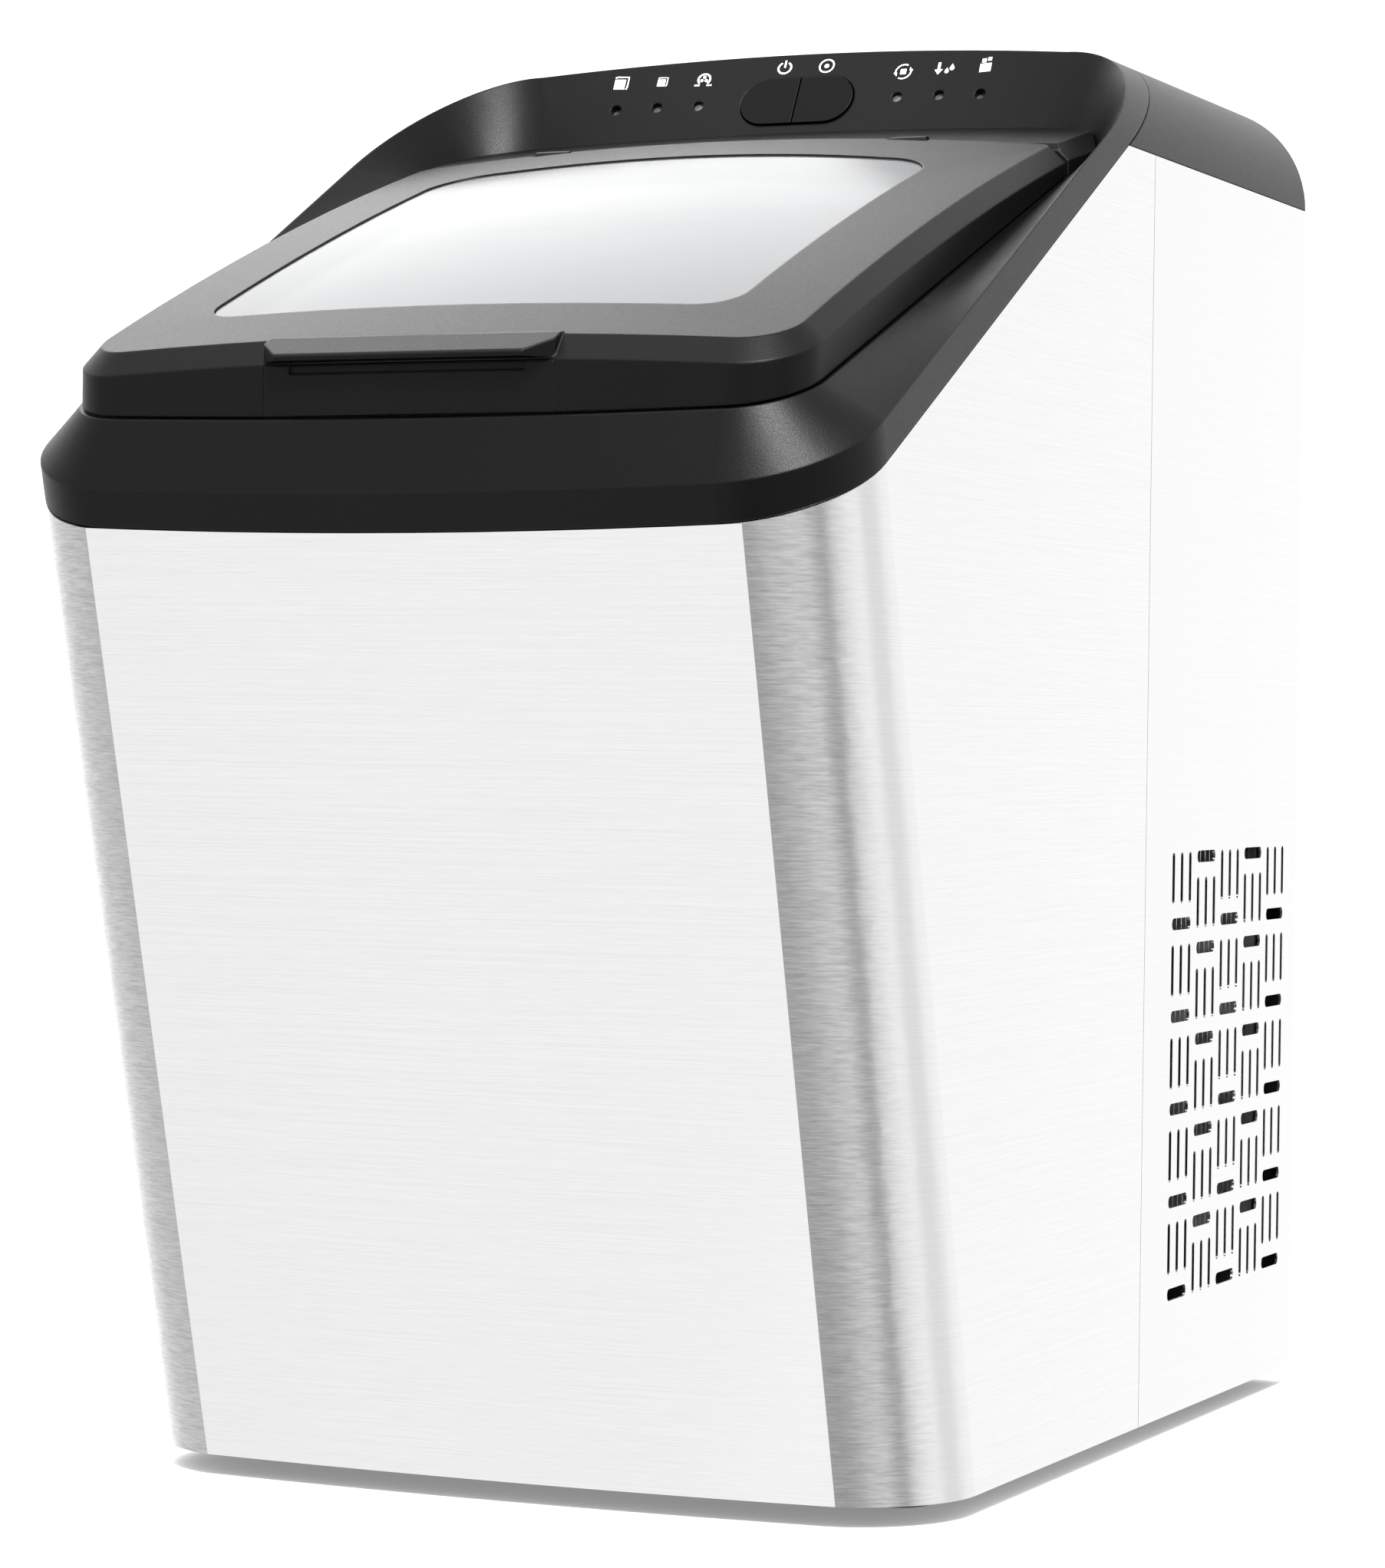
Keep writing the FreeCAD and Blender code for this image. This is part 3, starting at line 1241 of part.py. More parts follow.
NODES = {
    "front_wrap_panel": front_wrap_panel,
    "rear_housing": rear_housing,
    "rear_screws": rear_screws,
    "base_pan": base_pan,
    "rubber_feet": rubber_feet,
    "rear_top_cap": rear_top_cap,
    "top_bezel": top_bezel,
    "hinge_cover": hinge_cover,
    "hinge_pin": hinge_pin,
    "lid_frame": lid_frame,
    "lid_grip_panel": lid_grip_panel,
    "lid_window": lid_window,
    "lid_liner": lid_liner,
    "lid_seal": lid_seal,
    "power_button": lambda: button(-1),
    "select_button": lambda: button(1),
    "indicator_lenses": indicator_lenses,
    "control_board": control_board,
    "inner_tub": inner_tub,
    "foam_insulation": foam_insulation,
    "ice_basket": ice_basket,
    "ice_scoop": ice_scoop,
    "evaporator": evaporator,
    "evaporator_bracket": evaporator_bracket,
    "water_tray": water_tray,
    "ice_pusher": ice_pusher,
    "tray_gearmotor": tray_gearmotor,
    "ice_level_sensors": ice_level_sensors,
    "water_pump": water_pump,
    "pump_inlet_hose": pump_inlet_hose,
    "tray_fill_hose": tray_fill_hose,
    "drain_hose": drain_hose,
    "drain_spout": drain_spout,
    "drain_cap": drain_cap,
    "compressor": compressor,
    "compressor_grommets": compressor_grommets,
    "condenser": condenser,
    "fan_shroud": fan_shroud,
    "fan_motor_bracket": fan_motor_bracket,
    "fan_motor": fan_motor,
    "fan_rotor": fan_rotor,
    "filter_drier": filter_drier,
    "refrigerant_tubes": refrigerant_tubes,
    "hot_gas_valve": hot_gas_valve,
    "electronics_tray": electronics_tray,
    "power_board": power_board,
    "cord_gland": cord_gland,
}


REAR_OVERHANG = 3.95    # moves the origin to the middle of the overall depth, rear fittings included


def main():
    os.makedirs("parts", exist_ok=True)
    for name, make in NODES.items():
        shape = make()
        shape.translate(V(0, -REAR_OVERHANG, 0))
        solids = len(shape.Solids)
        bounds = shape.BoundBox
        print("%-22s solids %d valid %s volume %.0f  x %.1f %.1f  y %.1f %.1f  z %.1f %.1f" % (
            name, solids, shape.isValid(), shape.Volume, bounds.XMin, bounds.XMax,
            bounds.YMin, bounds.YMax, bounds.ZMin, bounds.ZMax))
        shape.exportStep("parts/" + name + ".step")


main()
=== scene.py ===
import json
import math

import bpy
from mathutils import Matrix, Vector


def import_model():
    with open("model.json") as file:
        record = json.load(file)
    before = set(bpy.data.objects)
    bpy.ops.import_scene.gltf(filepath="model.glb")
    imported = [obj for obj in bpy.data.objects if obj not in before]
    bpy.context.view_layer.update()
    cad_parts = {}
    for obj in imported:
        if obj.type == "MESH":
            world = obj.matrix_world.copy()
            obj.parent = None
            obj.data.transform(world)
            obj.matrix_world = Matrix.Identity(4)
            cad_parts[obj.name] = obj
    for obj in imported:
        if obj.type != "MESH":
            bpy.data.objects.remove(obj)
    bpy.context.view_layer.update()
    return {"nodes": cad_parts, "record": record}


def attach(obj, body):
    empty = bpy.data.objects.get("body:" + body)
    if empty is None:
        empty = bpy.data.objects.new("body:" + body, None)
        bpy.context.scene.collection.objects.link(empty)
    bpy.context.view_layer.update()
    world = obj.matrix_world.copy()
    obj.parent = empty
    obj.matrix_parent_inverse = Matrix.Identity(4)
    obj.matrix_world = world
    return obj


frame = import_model()
NODES = frame["nodes"]
MM = 0.001

# Where the steel front folds into its corner arcs, and where the grain streaks and painted dark reflection of
# the corners fade out on the sides, in metres from mid width.
FOLD = (0.0942, 0.0952)
CORNER_END = (0.110, 0.119)
BRUSH_SCALE = (14.0, 14.0, 3400.0)      # long level lines
SHORT_SCALE = (110.0, 110.0, 6200.0)    # short lines between them
STREAK_SCALE = (160.0, 160.0, 1800.0)   # the grain streaks and painted dark reflection on the corners
EDGE_RADIUS = 0.0007                    # width of the painted highlight, a paler colour, on the edges of moulded plastic


# ------------------------------------------------------------------ node helpers
class Mat:
    """A material whose nodes are added one by one."""

    def __init__(self, name):
        self.mat = bpy.data.materials.new(name)
        self.mat.use_nodes = True
        self.tree = self.mat.node_tree
        self.nodes = self.tree.nodes
        self.bsdf = self.nodes["Principled BSDF"]
        self.output = self.nodes["Material Output"]
        self.coords = self.add("ShaderNodeTexCoord").outputs["Object"]

    def add(self, kind, **values):
        node = self.nodes.new(kind)
        for key, value in values.items():
            setattr(node, key, value)
        return node

    def link(self, a, b):
        self.tree.links.new(a, b)

    def set(self, **values):
        for key, value in values.items():
            self.bsdf.inputs[key.replace("_", " ")].default_value = value

    def stretched(self, scale):
        mapping = self.add("ShaderNodeMapping")
        mapping.inputs["Scale"].default_value = scale
        self.link(self.coords, mapping.inputs["Vector"])
        return mapping.outputs["Vector"]

    def noise(self, scale, detail=2.0, rough=0.5, vector=None):
        node = self.add("ShaderNodeTexNoise")
        node.inputs["Scale"].default_value = scale
        node.inputs["Detail"].default_value = detail
        node.inputs["Roughness"].default_value = rough
        self.link(vector or self.coords, node.inputs["Vector"])
        return node.outputs["Fac"]

    def ramp(self, value, low, high, start=0.0, stop=1.0):
        node = self.add("ShaderNodeMapRange")
        node.inputs["From Min"].default_value = start
        node.inputs["From Max"].default_value = stop
        node.inputs["To Min"].default_value = low
        node.inputs["To Max"].default_value = high
        self.link(value, node.inputs["Value"])
        return node.outputs["Result"]

    def colours(self, value, first, second, start=0.0, stop=1.0):
        node = self.add("ShaderNodeValToRGB")
        node.color_ramp.elements[0].color = (*first, 1)
        node.color_ramp.elements[0].position = start
        node.color_ramp.elements[1].color = (*second, 1)
        node.color_ramp.elements[1].position = stop
        self.link(value, node.inputs["Fac"])
        return node.outputs["Color"]

    def bump(self, height, strength, distance, normal=None):
        node = self.add("ShaderNodeBump")
        node.inputs["Strength"].default_value = strength
        node.inputs["Distance"].default_value = distance
        self.link(height, node.inputs["Height"])
        if normal is not None:
            self.link(normal, node.inputs["Normal"])
        return node.outputs["Normal"]

    def soft_edges(self, radius):
        """Shading normals that round sharp edges off by the radius."""
        bevel = self.add("ShaderNodeBevel")
        bevel.samples = 6
        bevel.inputs["Radius"].default_value = radius
        return bevel.outputs["Normal"]

    def edges(self, radius):
        """0 on flat areas and rising on edges."""
        bevel = self.add("ShaderNodeBevel")
        bevel.samples = 4
        bevel.inputs["Radius"].default_value = radius
        geometry = self.add("ShaderNodeNewGeometry")
        dot = self.add("ShaderNodeVectorMath", operation="DOT_PRODUCT")
        self.link(bevel.outputs["Normal"], dot.inputs[0])
        self.link(geometry.outputs["Normal"], dot.inputs[1])
        return self.ramp(dot.outputs["Value"], 1.0, 0.0, 0.75, 1.0)


def plastic(name, base, rough, grain=0.35, grain_scale=2600.0, specular=0.5, spread=0.12, painted_edge_highlight=0.0, soft=0.0):
    """Moulded plastic: fine grain, slight blotches of gloss, and a painted highlight: paler colour on its
    edges.
    """
    m = Mat(name)
    fine = m.noise(grain_scale, 3.0, 0.6)
    broad = m.noise(28.0, 3.0, 0.55)
    dark = tuple(c * (1 - spread) for c in base)
    light = tuple(min(1.0, c * (1 + spread)) for c in base)
    colour = m.colours(broad, dark, light, 0.3, 0.7)
    # Painted highlight: the edges get a paler colour than the flat areas.
    if painted_edge_highlight:
        mix = m.add("ShaderNodeMix", data_type="RGBA")
        m.link(m.edges(EDGE_RADIUS), mix.inputs["Factor"])
        m.link(colour, mix.inputs["A"])
        mix.inputs["B"].default_value = (*[min(1.0, c + painted_edge_highlight) for c in base], 1)
        colour = mix.outputs["Result"]
    m.link(colour, m.bsdf.inputs["Base Color"])
    m.link(m.ramp(fine, rough - 0.05, rough + 0.07, 0.3, 0.7), m.bsdf.inputs["Roughness"])
    normal = m.soft_edges(soft) if soft else None
    m.link(m.bump(fine, grain, 0.00012, normal), m.bsdf.inputs["Normal"])
    m.set(Specular_IOR_Level=specular)
    return m.mat


def brushed(name, base, rough, strength=0.2, anisotropy=0.9, contrast=0.93, corner_streaks_and_shade=None):
    """Steel sheet with fine level brush lines. Given a corner value, its two front corners get coarser grain
    streaks and a painted dark reflection: a colour darker than the sheet on average.
    """
    m = Mat(name)
    lines = m.noise(1.0, 5.0, 0.7, m.stretched(BRUSH_SCALE))
    short = m.noise(1.0, 3.0, 0.6, m.stretched(SHORT_SCALE))
    broad = m.noise(5.0, 2.0, 0.5)
    mixed = m.add("ShaderNodeMath", operation="ADD")
    m.link(m.ramp(lines, 0.0, 0.6), mixed.inputs[0])
    m.link(m.ramp(short, 0.0, 0.4), mixed.inputs[1])
    grain = mixed.outputs[0]
    low = tuple(c * contrast for c in base)
    colour = m.colours(grain, low, base, 0.38, 0.58)
    if corner_streaks_and_shade is not None:
        # Painted dark reflection on the two front corners: streaked colour, darker than the sheet on average,
        # mixed in across the corner arcs.
        streaks = m.noise(1.0, 4.0, 0.65, m.stretched(STREAK_SCALE))
        corner_streaks_and_shade_colour = m.colours(streaks, tuple(c * corner_streaks_and_shade for c in base), tuple(c * 1.08 for c in base), 0.34, 0.66)
        place = m.add("ShaderNodeSeparateXYZ")
        m.link(m.coords, place.inputs["Vector"])
        across = m.add("ShaderNodeMath", operation="ABSOLUTE")
        m.link(place.outputs["X"], across.inputs[0])
        corner_streaks_and_shade_mask = m.add("ShaderNodeMath", operation="MULTIPLY")
        m.link(m.ramp(across.outputs[0], 0.0, 1.0, *FOLD), corner_streaks_and_shade_mask.inputs[0])
        m.link(m.ramp(across.outputs[0], 1.0, 0.0, *CORNER_END), corner_streaks_and_shade_mask.inputs[1])
        mix = m.add("ShaderNodeMix", data_type="RGBA")
        m.link(corner_streaks_and_shade_mask.outputs[0], mix.inputs["Factor"])
        m.link(colour, mix.inputs["A"])
        m.link(corner_streaks_and_shade_colour, mix.inputs["B"])
        colour = mix.outputs["Result"]
    m.link(colour, m.bsdf.inputs["Base Color"])
    total = m.add("ShaderNodeMath", operation="ADD")
    m.link(m.ramp(grain, rough + 0.03, rough - 0.03, 0.35, 0.65), total.inputs[0])
    m.link(m.ramp(broad, -0.01, 0.01, 0.3, 0.7), total.inputs[1])
    m.link(total.outputs[0], m.bsdf.inputs["Roughness"])
    m.link(m.bump(grain, strength, 0.00002), m.bsdf.inputs["Normal"])
    tangent = m.add("ShaderNodeTangent", direction_type="RADIAL", axis="Z")
    m.link(tangent.outputs["Tangent"], m.bsdf.inputs["Tangent"])
    m.set(Metallic=1.0, Anisotropic=anisotropy, Anisotropic_Rotation=0.25)
    return m.mat


def metal(name, base, rough, scale=700.0, bump=0.15):
    """Plain machined or drawn metal with a fine even grain."""
    m = Mat(name)
    fine = m.noise(scale, 3.0, 0.6)
    low = tuple(c * 0.85 for c in base)
    m.link(m.colours(m.noise(40.0, 4.0), low, base, 0.3, 0.7), m.bsdf.inputs["Base Color"])
    m.link(m.ramp(fine, rough - 0.06, rough + 0.08, 0.3, 0.7), m.bsdf.inputs["Roughness"])
    m.link(m.bump(fine, bump, 0.0001), m.bsdf.inputs["Normal"])
    m.set(Metallic=1.0)
    return m.mat


def clear(name, colour, rough, alpha, specular=0.5):
    """Clear moulded plastic: a faint tint, a shine and very slight ripples."""
    m = Mat(name)
    ripple = m.noise(18.0, 2.0, 0.4)
    m.link(m.colours(m.noise(60.0, 2.0), tuple(c * 0.96 for c in colour), colour, 0.3, 0.7),
           m.bsdf.inputs["Base Color"])
    m.link(m.ramp(ripple, rough, rough + 0.03, 0.3, 0.7), m.bsdf.inputs["Roughness"])
    m.link(m.bump(ripple, 0.05, 0.001), m.bsdf.inputs["Normal"])
    m.set(Alpha=alpha, IOR=1.49, Specular_IOR_Level=specular)
    return m.mat


MATERIALS = {
    # The front corners get grain streaks and a painted dark reflection.
    "front_steel": brushed("front_steel", (0.555, 0.555, 0.56), 0.23, corner_streaks_and_shade=0.78),
    "housing_steel": brushed("housing_steel", (0.545, 0.545, 0.55), 0.24, 0.1, 0.9, 0.97),
    # The black plastics and the compressor get a painted highlight, a paler colour, on their edges.
    "bezel_black": plastic("bezel_black", (0.0010, 0.0010, 0.0011), 0.37, specular=0.11, spread=0.1,
                           painted_edge_highlight=0.006, soft=0.0007),
    "lid_black": plastic("lid_black", (0.0010, 0.0010, 0.0011), 0.38, specular=0.10, spread=0.1,
                         painted_edge_highlight=0.006, soft=0.0009),
    "button_black": plastic("button_black", (0.0008, 0.0008, 0.0009), 0.36, grain=0.15, specular=0.07,
                            spread=0.1, painted_edge_highlight=0.006, soft=0.0004),
    "clear_window": clear("clear_window", (0.055, 0.057, 0.06), 0.14, 0.72, 0.15),
    "lens_clear": plastic("lens_clear", (0.045, 0.045, 0.05), 0.20, 0.05, 900.0, 0.5),
    "liner_grey": plastic("liner_grey", (0.22, 0.22, 0.23), 0.45, 0.2),
    "tub_white": plastic("tub_white", (0.50, 0.51, 0.51), 0.30, 0.1, 1200.0, 0.5, 0.03),
    "basket_clear": plastic("basket_clear", (0.42, 0.46, 0.49), 0.28, 0.1, 1200.0, 0.5, 0.03),
    "scoop_blue": plastic("scoop_blue", (0.16, 0.32, 0.48), 0.25, 0.1, 1200.0, 0.5, 0.04),
    "foam_cream": plastic("foam_cream", (0.80, 0.74, 0.58), 0.85, 0.9, 500.0, 0.2, 0.12),
    "rubber_black": plastic("rubber_black", (0.018, 0.018, 0.018), 0.72, 0.5, 1500.0, 0.3, 0.2),
    "hose_grey": plastic("hose_grey", (0.45, 0.46, 0.46), 0.5, 0.15, 900.0, 0.4, 0.06),
    "base_black": plastic("base_black", (0.022, 0.022, 0.022), 0.55, 0.4, 1800.0, 0.35, 0.15),
    "compressor_black": plastic("compressor_black", (0.012, 0.012, 0.014), 0.3, 0.25, 420.0, 0.5, 0.2, 0.04),
    "copper_tube": metal("copper_tube", (0.80, 0.42, 0.27), 0.3),
    "finger_metal": metal("finger_metal", (0.76, 0.75, 0.72), 0.2),
    "fin_aluminium": metal("fin_aluminium", (0.78, 0.79, 0.80), 0.35),
    "zinc_steel": metal("zinc_steel", (0.62, 0.62, 0.58), 0.35),
    "board_green": plastic("board_green", (0.03, 0.16, 0.07), 0.35, 0.3, 300.0, 0.5, 0.3),
    "motor_grey": plastic("motor_grey", (0.28, 0.29, 0.30), 0.4, 0.2),
    "fan_black": plastic("fan_black", (0.02, 0.02, 0.02), 0.35, 0.2),
    "solenoid_black": plastic("solenoid_black", (0.02, 0.02, 0.022), 0.35, 0.2),
}


def dress_cad_nodes():
    """Give every CAD node the material that its slot names."""
    for entry in frame["record"]["subparts"]:
        node = NODES[entry["node"]]
        node.data.materials.clear()
        node.data.materials.append(MATERIALS[entry["material_slot"]])


dress_cad_nodes()


# ------------------------------------------------------------------ printed symbols
PANEL_CREST = Vector((0.0, 66.12, 419.0))
PANEL_UP = Vector((0.0, 0.4833, 0.8754))
PANEL_OUT = Vector((0.0, -0.8754, 0.4833))
INK_LIFT = 0.06
INK_DEPTH = 0.05
CAST_FROM = 12.0        # how far in front of the face the search for its surface starts


def on_face(x, down):
    """The point of the control face's real surface at x, this far down from the crest, in mm."""
    start = (PANEL_CREST + Vector((x, 0, 0)) - PANEL_UP * down + PANEL_OUT * CAST_FROM) * MM
    hit, place, _, _ = NODES["top_bezel"].ray_cast(start, -PANEL_OUT)
    return place / MM if hit else start / MM - PANEL_OUT * CAST_FROM


def circle_points(cx, cy, radius, start=0.0, end=360.0, steps=28):
    points = []
    for i in range(steps + 1):
        angle = math.radians(start + (end - start) * i / steps)
        points.append((cx + radius * math.cos(angle), cy + radius * math.sin(angle)))
    return points


def stroke(points, width):
    """A line of the given width as quads."""
    quads = []
    half = width / 2
    sides = []
    for i, (x, y) in enumerate(points):
        x0, y0 = points[max(i - 1, 0)]
        x1, y1 = points[min(i + 1, len(points) - 1)]
        if i in (0, len(points) - 1) and math.dist(points[0], points[-1]) < 1e-6:
            x0, y0 = points[-2]
            x1, y1 = points[1]
        length = math.hypot(x1 - x0, y1 - y0)
        nx, ny = -(y1 - y0) / length * half, (x1 - x0) / length * half
        sides.append(((x + nx, y + ny), (x - nx, y - ny)))
    for (a, b), (c, d) in zip(sides, sides[1:]):
        quads.append([a, b, d, c])
    return quads


def fan_of(centre, points):
    return [[centre, a, b] for a, b in zip(points, points[1:])]


def square(cx, cy, size):
    h = size / 2
    return [[(cx - h, cy - h), (cx + h, cy - h), (cx + h, cy + h), (cx - h, cy + h)]]


def cube_symbol(size):
    shapes = square(-0.08 * size, -0.08 * size, 0.78 * size)
    edge = [(0.42 * size, -0.47 * size), (0.5 * size, -0.3 * size), (0.5 * size, 0.5 * size),
            (-0.3 * size, 0.5 * size), (-0.47 * size, 0.42 * size)]
    return shapes + stroke(edge, 0.11 * size)


def fan_symbol(size):
    r = size / 2
    shapes = stroke(circle_points(0, 0.1 * size, 0.86 * r, -50, 230), 0.13 * size)
    for angle in (90, 210, 330):
        a = math.radians(angle)
        cx, cy = 0.36 * r * math.cos(a), 0.1 * size + 0.36 * r * math.sin(a)
        shapes += fan_of((cx, cy), circle_points(cx, cy, 0.24 * r, steps=14))
    for side in (-1, 1):
        foot = [(side * 0.25 * size, -0.38 * size), (side * 0.62 * size, -0.38 * size)]
        shapes += stroke(foot, 0.12 * size)
    return shapes


def power_symbol(size):
    return stroke(circle_points(0, 0, size * 0.42, 120, 420), size * 0.12) + stroke(
        [(0, size * 0.02), (0, size * 0.56)], size * 0.12)


def select_symbol(size):
    dot = fan_of((0, 0), circle_points(0, 0, size * 0.15, steps=18))
    return stroke(circle_points(0, 0, size * 0.45), size * 0.10) + dot


def turning_symbol(size):
    shapes = square(0, 0, 0.42 * size)
    for start in (60, 240):
        shapes += stroke(circle_points(0, 0, 0.56 * size, start, start + 125, 18), 0.10 * size)
        a = math.radians(start + 125)
        tip = math.radians(start + 158)
        inner, outer = 0.44 * size, 0.70 * size
        shapes.append([(inner * math.cos(a), inner * math.sin(a)), (outer * math.cos(a), outer * math.sin(a)),
                       (0.56 * size * math.cos(tip), 0.56 * size * math.sin(tip))])
    return shapes


def drop(cx, cy, radius):
    round_part = circle_points(cx, cy, radius, 150, 390, 16)
    return fan_of((cx, cy), round_part + [(cx, cy + 2.1 * radius), round_part[0]])


def filling_symbol(size):
    shapes = stroke([(-0.45 * size, 0.5 * size), (-0.45 * size, -0.1 * size)], 0.2 * size)
    shapes.append([(-0.75 * size, -0.05 * size), (-0.45 * size, -0.45 * size), (-0.15 * size, -0.05 * size)])
    return shapes + drop(0.15 * size, -0.25 * size, 0.15 * size) + drop(0.5 * size, -0.02 * size, 0.17 * size)


def bin_symbol(size):
    shapes = [[(-0.42 * size, -0.5 * size), (0.36 * size, -0.5 * size), (0.36 * size, 0.12 * size),
               (-0.42 * size, 0.12 * size)]]
    shapes += square(-0.18 * size, 0.34 * size, 0.3 * size)
    shapes += square(0.2 * size, 0.42 * size, 0.26 * size)
    return shapes


def print_symbol(name, shapes, x, down):
    """Ink laid on the control face: thin closed slabs that follow its surface."""
    verts = []
    faces = []
    for shape in shapes:
        count = len(shape)
        base = len(verts)
        places = [on_face(x + px, down - py) for px, py in shape]
        verts += [(p + PANEL_OUT * INK_LIFT) * MM for p in places]
        verts += [(p - PANEL_OUT * INK_DEPTH) * MM for p in places]
        area = sum(shape[i - 1][0] * shape[i][1] - shape[i][0] * shape[i - 1][1] for i in range(count))
        order = list(range(count)) if area > 0 else list(range(count))[::-1]
        faces.append([base + i for i in order])
        faces.append([base + count + i for i in order[::-1]])
        for i, j in zip(order, order[1:] + order[:1]):
            faces.append([base + i, base + count + i, base + count + j, base + j])
    mesh = bpy.data.meshes.new(name)
    mesh.from_pydata(verts, [], faces)
    mesh.validate()
    mesh.materials.append(INK)
    piece = bpy.data.objects.new(name, mesh)
    bpy.context.scene.collection.objects.link(piece)
    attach(piece, "cabinet")


INK = plastic("print_ink", (0.62, 0.62, 0.62), 0.5, 0.1, 1500.0, 0.3, 0.08)

# Piece name, its shapes, distance right of mid width and distance below the crest, in mm.
SYMBOLS = [
    ("symbol_large_ice", cube_symbol(4.6), -60.6, 9.4),
    ("symbol_small_ice", cube_symbol(3.3), -46.9, 9.0),
    ("symbol_fan", fan_symbol(4.6), -33.0, 8.7),
    ("symbol_power", power_symbol(5.0), -6.8, 4.9),
    ("symbol_select", select_symbol(5.2), 7.2, 4.9),
    ("symbol_turning", turning_symbol(4.6), 33.4, 8.9),
    ("symbol_filling", filling_symbol(4.6), 47.2, 8.9),
    ("symbol_bin", bin_symbol(4.8), 60.8, 9.0),
]
for symbol in SYMBOLS:
    print_symbol(*symbol)


# ------------------------------------------------------------------ stage
FLOOR_HALF = 6.0
FLOOR_GLOW = 0.22


def stage():
    """A plain pale floor."""
    mesh = bpy.data.meshes.new("floor")
    corners = [(-FLOOR_HALF, -FLOOR_HALF, 0), (FLOOR_HALF, -FLOOR_HALF, 0),
               (FLOOR_HALF, FLOOR_HALF, 0), (-FLOOR_HALF, FLOOR_HALF, 0)]
    mesh.from_pydata(corners, [], [(0, 1, 2, 3)])
    floor = bpy.data.objects.new("floor", mesh)
    bpy.context.scene.collection.objects.link(floor)
    m = Mat("floor_paper")
    m.link(m.colours(m.noise(3.0), (0.90, 0.90, 0.90), (0.94, 0.94, 0.94)), m.bsdf.inputs["Base Color"])
    m.set(Roughness=0.9, Specular_IOR_Level=0.1, Emission_Color=(1.0, 1.0, 1.0, 1.0),
          Emission_Strength=FLOOR_GLOW)
    mesh.materials.append(m.mat)
    floor.visible_glossy = False


# How bright the studio is in each compass direction, degrees anticlockwise from +X, at most STUDIO_TOP.
STUDIO_TOP = 2.0
STUDIO = [
    (-180, 1.02), (-172, 0.99), (-162, 0.95), (-156, 0.72), (-153, 0.66), (-150, 1.00), (-147, 1.60),
    (-120, 1.64), (-95, 1.64), (-90, 1.00), (-86, 0.45), (-76, 0.48), (-70, 0.54), (-62, 0.64), (-54, 0.76),
    (-46, 0.94), (-39, 1.02), (-31, 1.08), (-23, 0.84), (-17, 0.66), (-13, 0.68), (-7, 1.12), (1, 1.36),
    (10, 1.54), (19, 1.60), (28, 1.32), (41, 1.32), (53, 1.54), (69, 1.58), (100, 1.58), (106, 1.50),
    (138, 1.50), (150, 1.35), (159, 1.17), (175, 1.02), (180, 1.02),
]


def world():
    """A studio whose brightness depends only on the compass direction."""
    w = bpy.data.worlds.new("studio")
    bpy.context.scene.world = w
    w.use_nodes = True
    nodes = w.node_tree.nodes
    link = w.node_tree.links.new
    coords = nodes.new("ShaderNodeTexCoord")
    split = nodes.new("ShaderNodeSeparateXYZ")
    link(coords.outputs["Generated"], split.inputs[0])
    turn = nodes.new("ShaderNodeMath")
    turn.operation = "ARCTAN2"
    link(split.outputs["Y"], turn.inputs[0])
    link(split.outputs["X"], turn.inputs[1])
    span = nodes.new("ShaderNodeMapRange")
    span.inputs["From Min"].default_value = -math.pi
    span.inputs["From Max"].default_value = math.pi
    link(turn.outputs[0], span.inputs["Value"])
    curve = nodes.new("ShaderNodeFloatCurve")
    points = curve.mapping.curves[0].points
    while len(points) < len(STUDIO):
        points.new(0.5, 0.5)
    for point, (angle, level) in zip(points, STUDIO):
        point.location = ((angle + 180.0) / 360.0, level / STUDIO_TOP)
        point.handle_type = "VECTOR"
    curve.mapping.update()
    link(span.outputs["Result"], curve.inputs["Value"])
    level = nodes.new("ShaderNodeMath")
    level.operation = "MULTIPLY"
    level.inputs[1].default_value = STUDIO_TOP
    link(curve.outputs["Value"], level.inputs[0])
    link(level.outputs[0], nodes["Background"].inputs["Strength"])
    nodes["Background"].inputs["Color"].default_value = (1.0, 1.0, 1.0, 1)


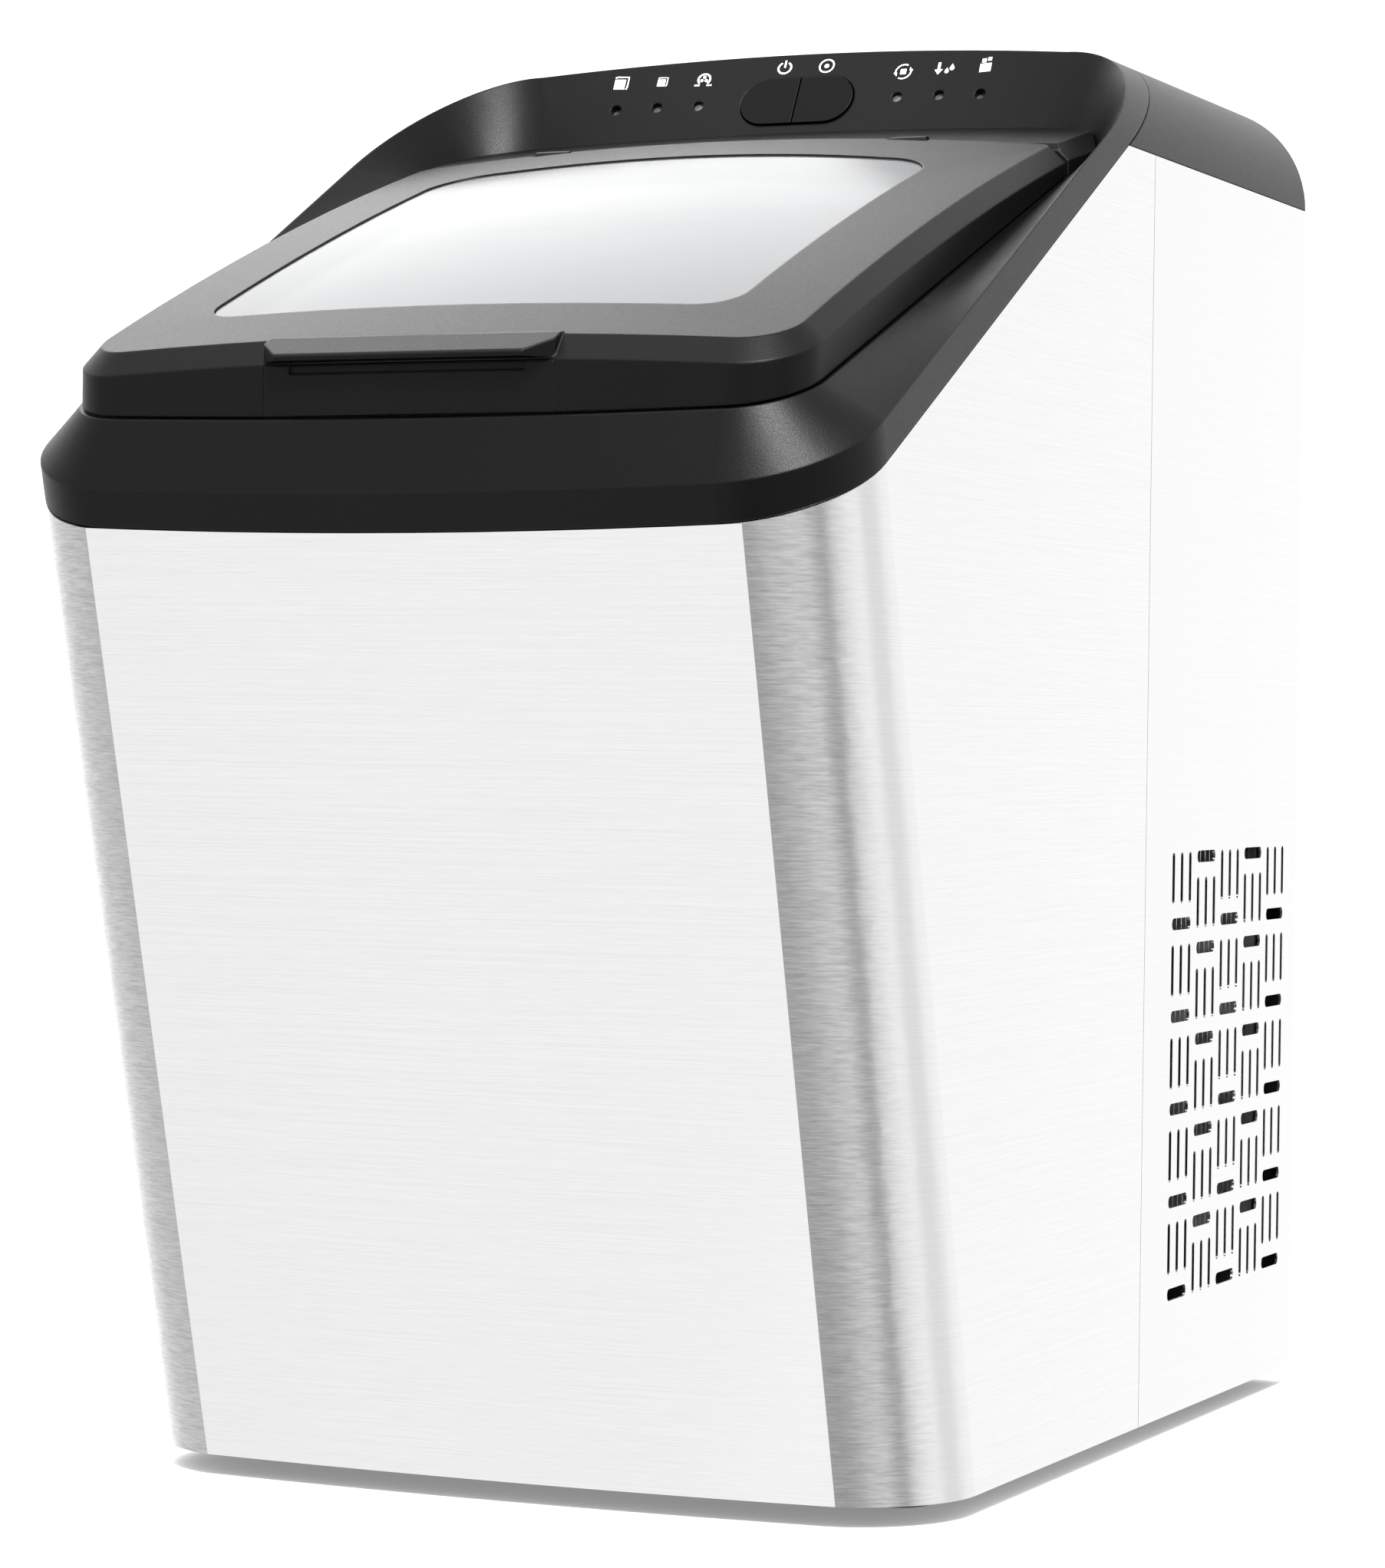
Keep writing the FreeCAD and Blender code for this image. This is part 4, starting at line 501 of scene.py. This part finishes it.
# Name, place, the point it faces, width and height, watts.
LIGHTS = [
    ("sky_panel", (-1.15, 1.30, 1.60), (0, 0, 0.35), (1.3, 1.1), 12.0),
    ("corner_panel", (0.60, -0.95, 1.50), (0.08, -0.19, 0.27), (0.5, 0.5), 78.0),
    ("face_panel", (-0.42, -0.30, 1.25), (-0.03, 0.06, 0.4), (0.9, 0.45), 2.5),
]


def area_light(name, place, target, size, power):
    """A soft rectangular light at a place, turned to face the target."""
    data = bpy.data.lights.new(name, "AREA")
    data.shape = "RECTANGLE"
    data.size = size[0]
    data.size_y = size[1]
    data.energy = power
    light = bpy.data.objects.new(name, data)
    light.location = place
    direction = Vector(target) - Vector(place)
    light.rotation_euler = direction.to_track_quat("-Z", "Y").to_euler()
    bpy.context.scene.collection.objects.link(light)


CAMERA_PLACE = (0.5518, -1.27085, 0.2109)
CAMERA_YAW = 23.734
CAMERA_PITCH = -0.704
CAMERA_ROLL = 0.714
SENSOR = 36.0           # mm
FOCAL = 107.267319      # mm, for the sensor along the longer side of the view


def camera():
    """The view that the object was drawn from: place, then yaw, pitch and roll in degrees."""
    place = Vector(CAMERA_PLACE)
    yaw = math.radians(CAMERA_YAW)
    pitch = math.radians(CAMERA_PITCH)
    roll = math.radians(CAMERA_ROLL)
    forward = Vector((-math.sin(yaw) * math.cos(pitch), math.cos(yaw) * math.cos(pitch), math.sin(pitch)))
    level_right = forward.cross(Vector((0, 0, 1))).normalized()
    level_up = level_right.cross(forward)
    right = level_right * math.cos(roll) + level_up * math.sin(roll)
    up = level_up * math.cos(roll) - level_right * math.sin(roll)
    data = bpy.data.cameras.new("photo_camera")
    data.sensor_width = SENSOR
    data.lens = FOCAL
    cam = bpy.data.objects.new("photo_camera", data)
    rotation = Matrix((right, up, -forward)).transposed().to_4x4()
    cam.matrix_world = Matrix.Translation(place) @ rotation
    bpy.context.scene.collection.objects.link(cam)
    bpy.context.scene.camera = cam


stage()
world()
for light in LIGHTS:
    area_light(*light)
camera()
scene = bpy.context.scene
scene.view_settings.view_transform = "Standard"
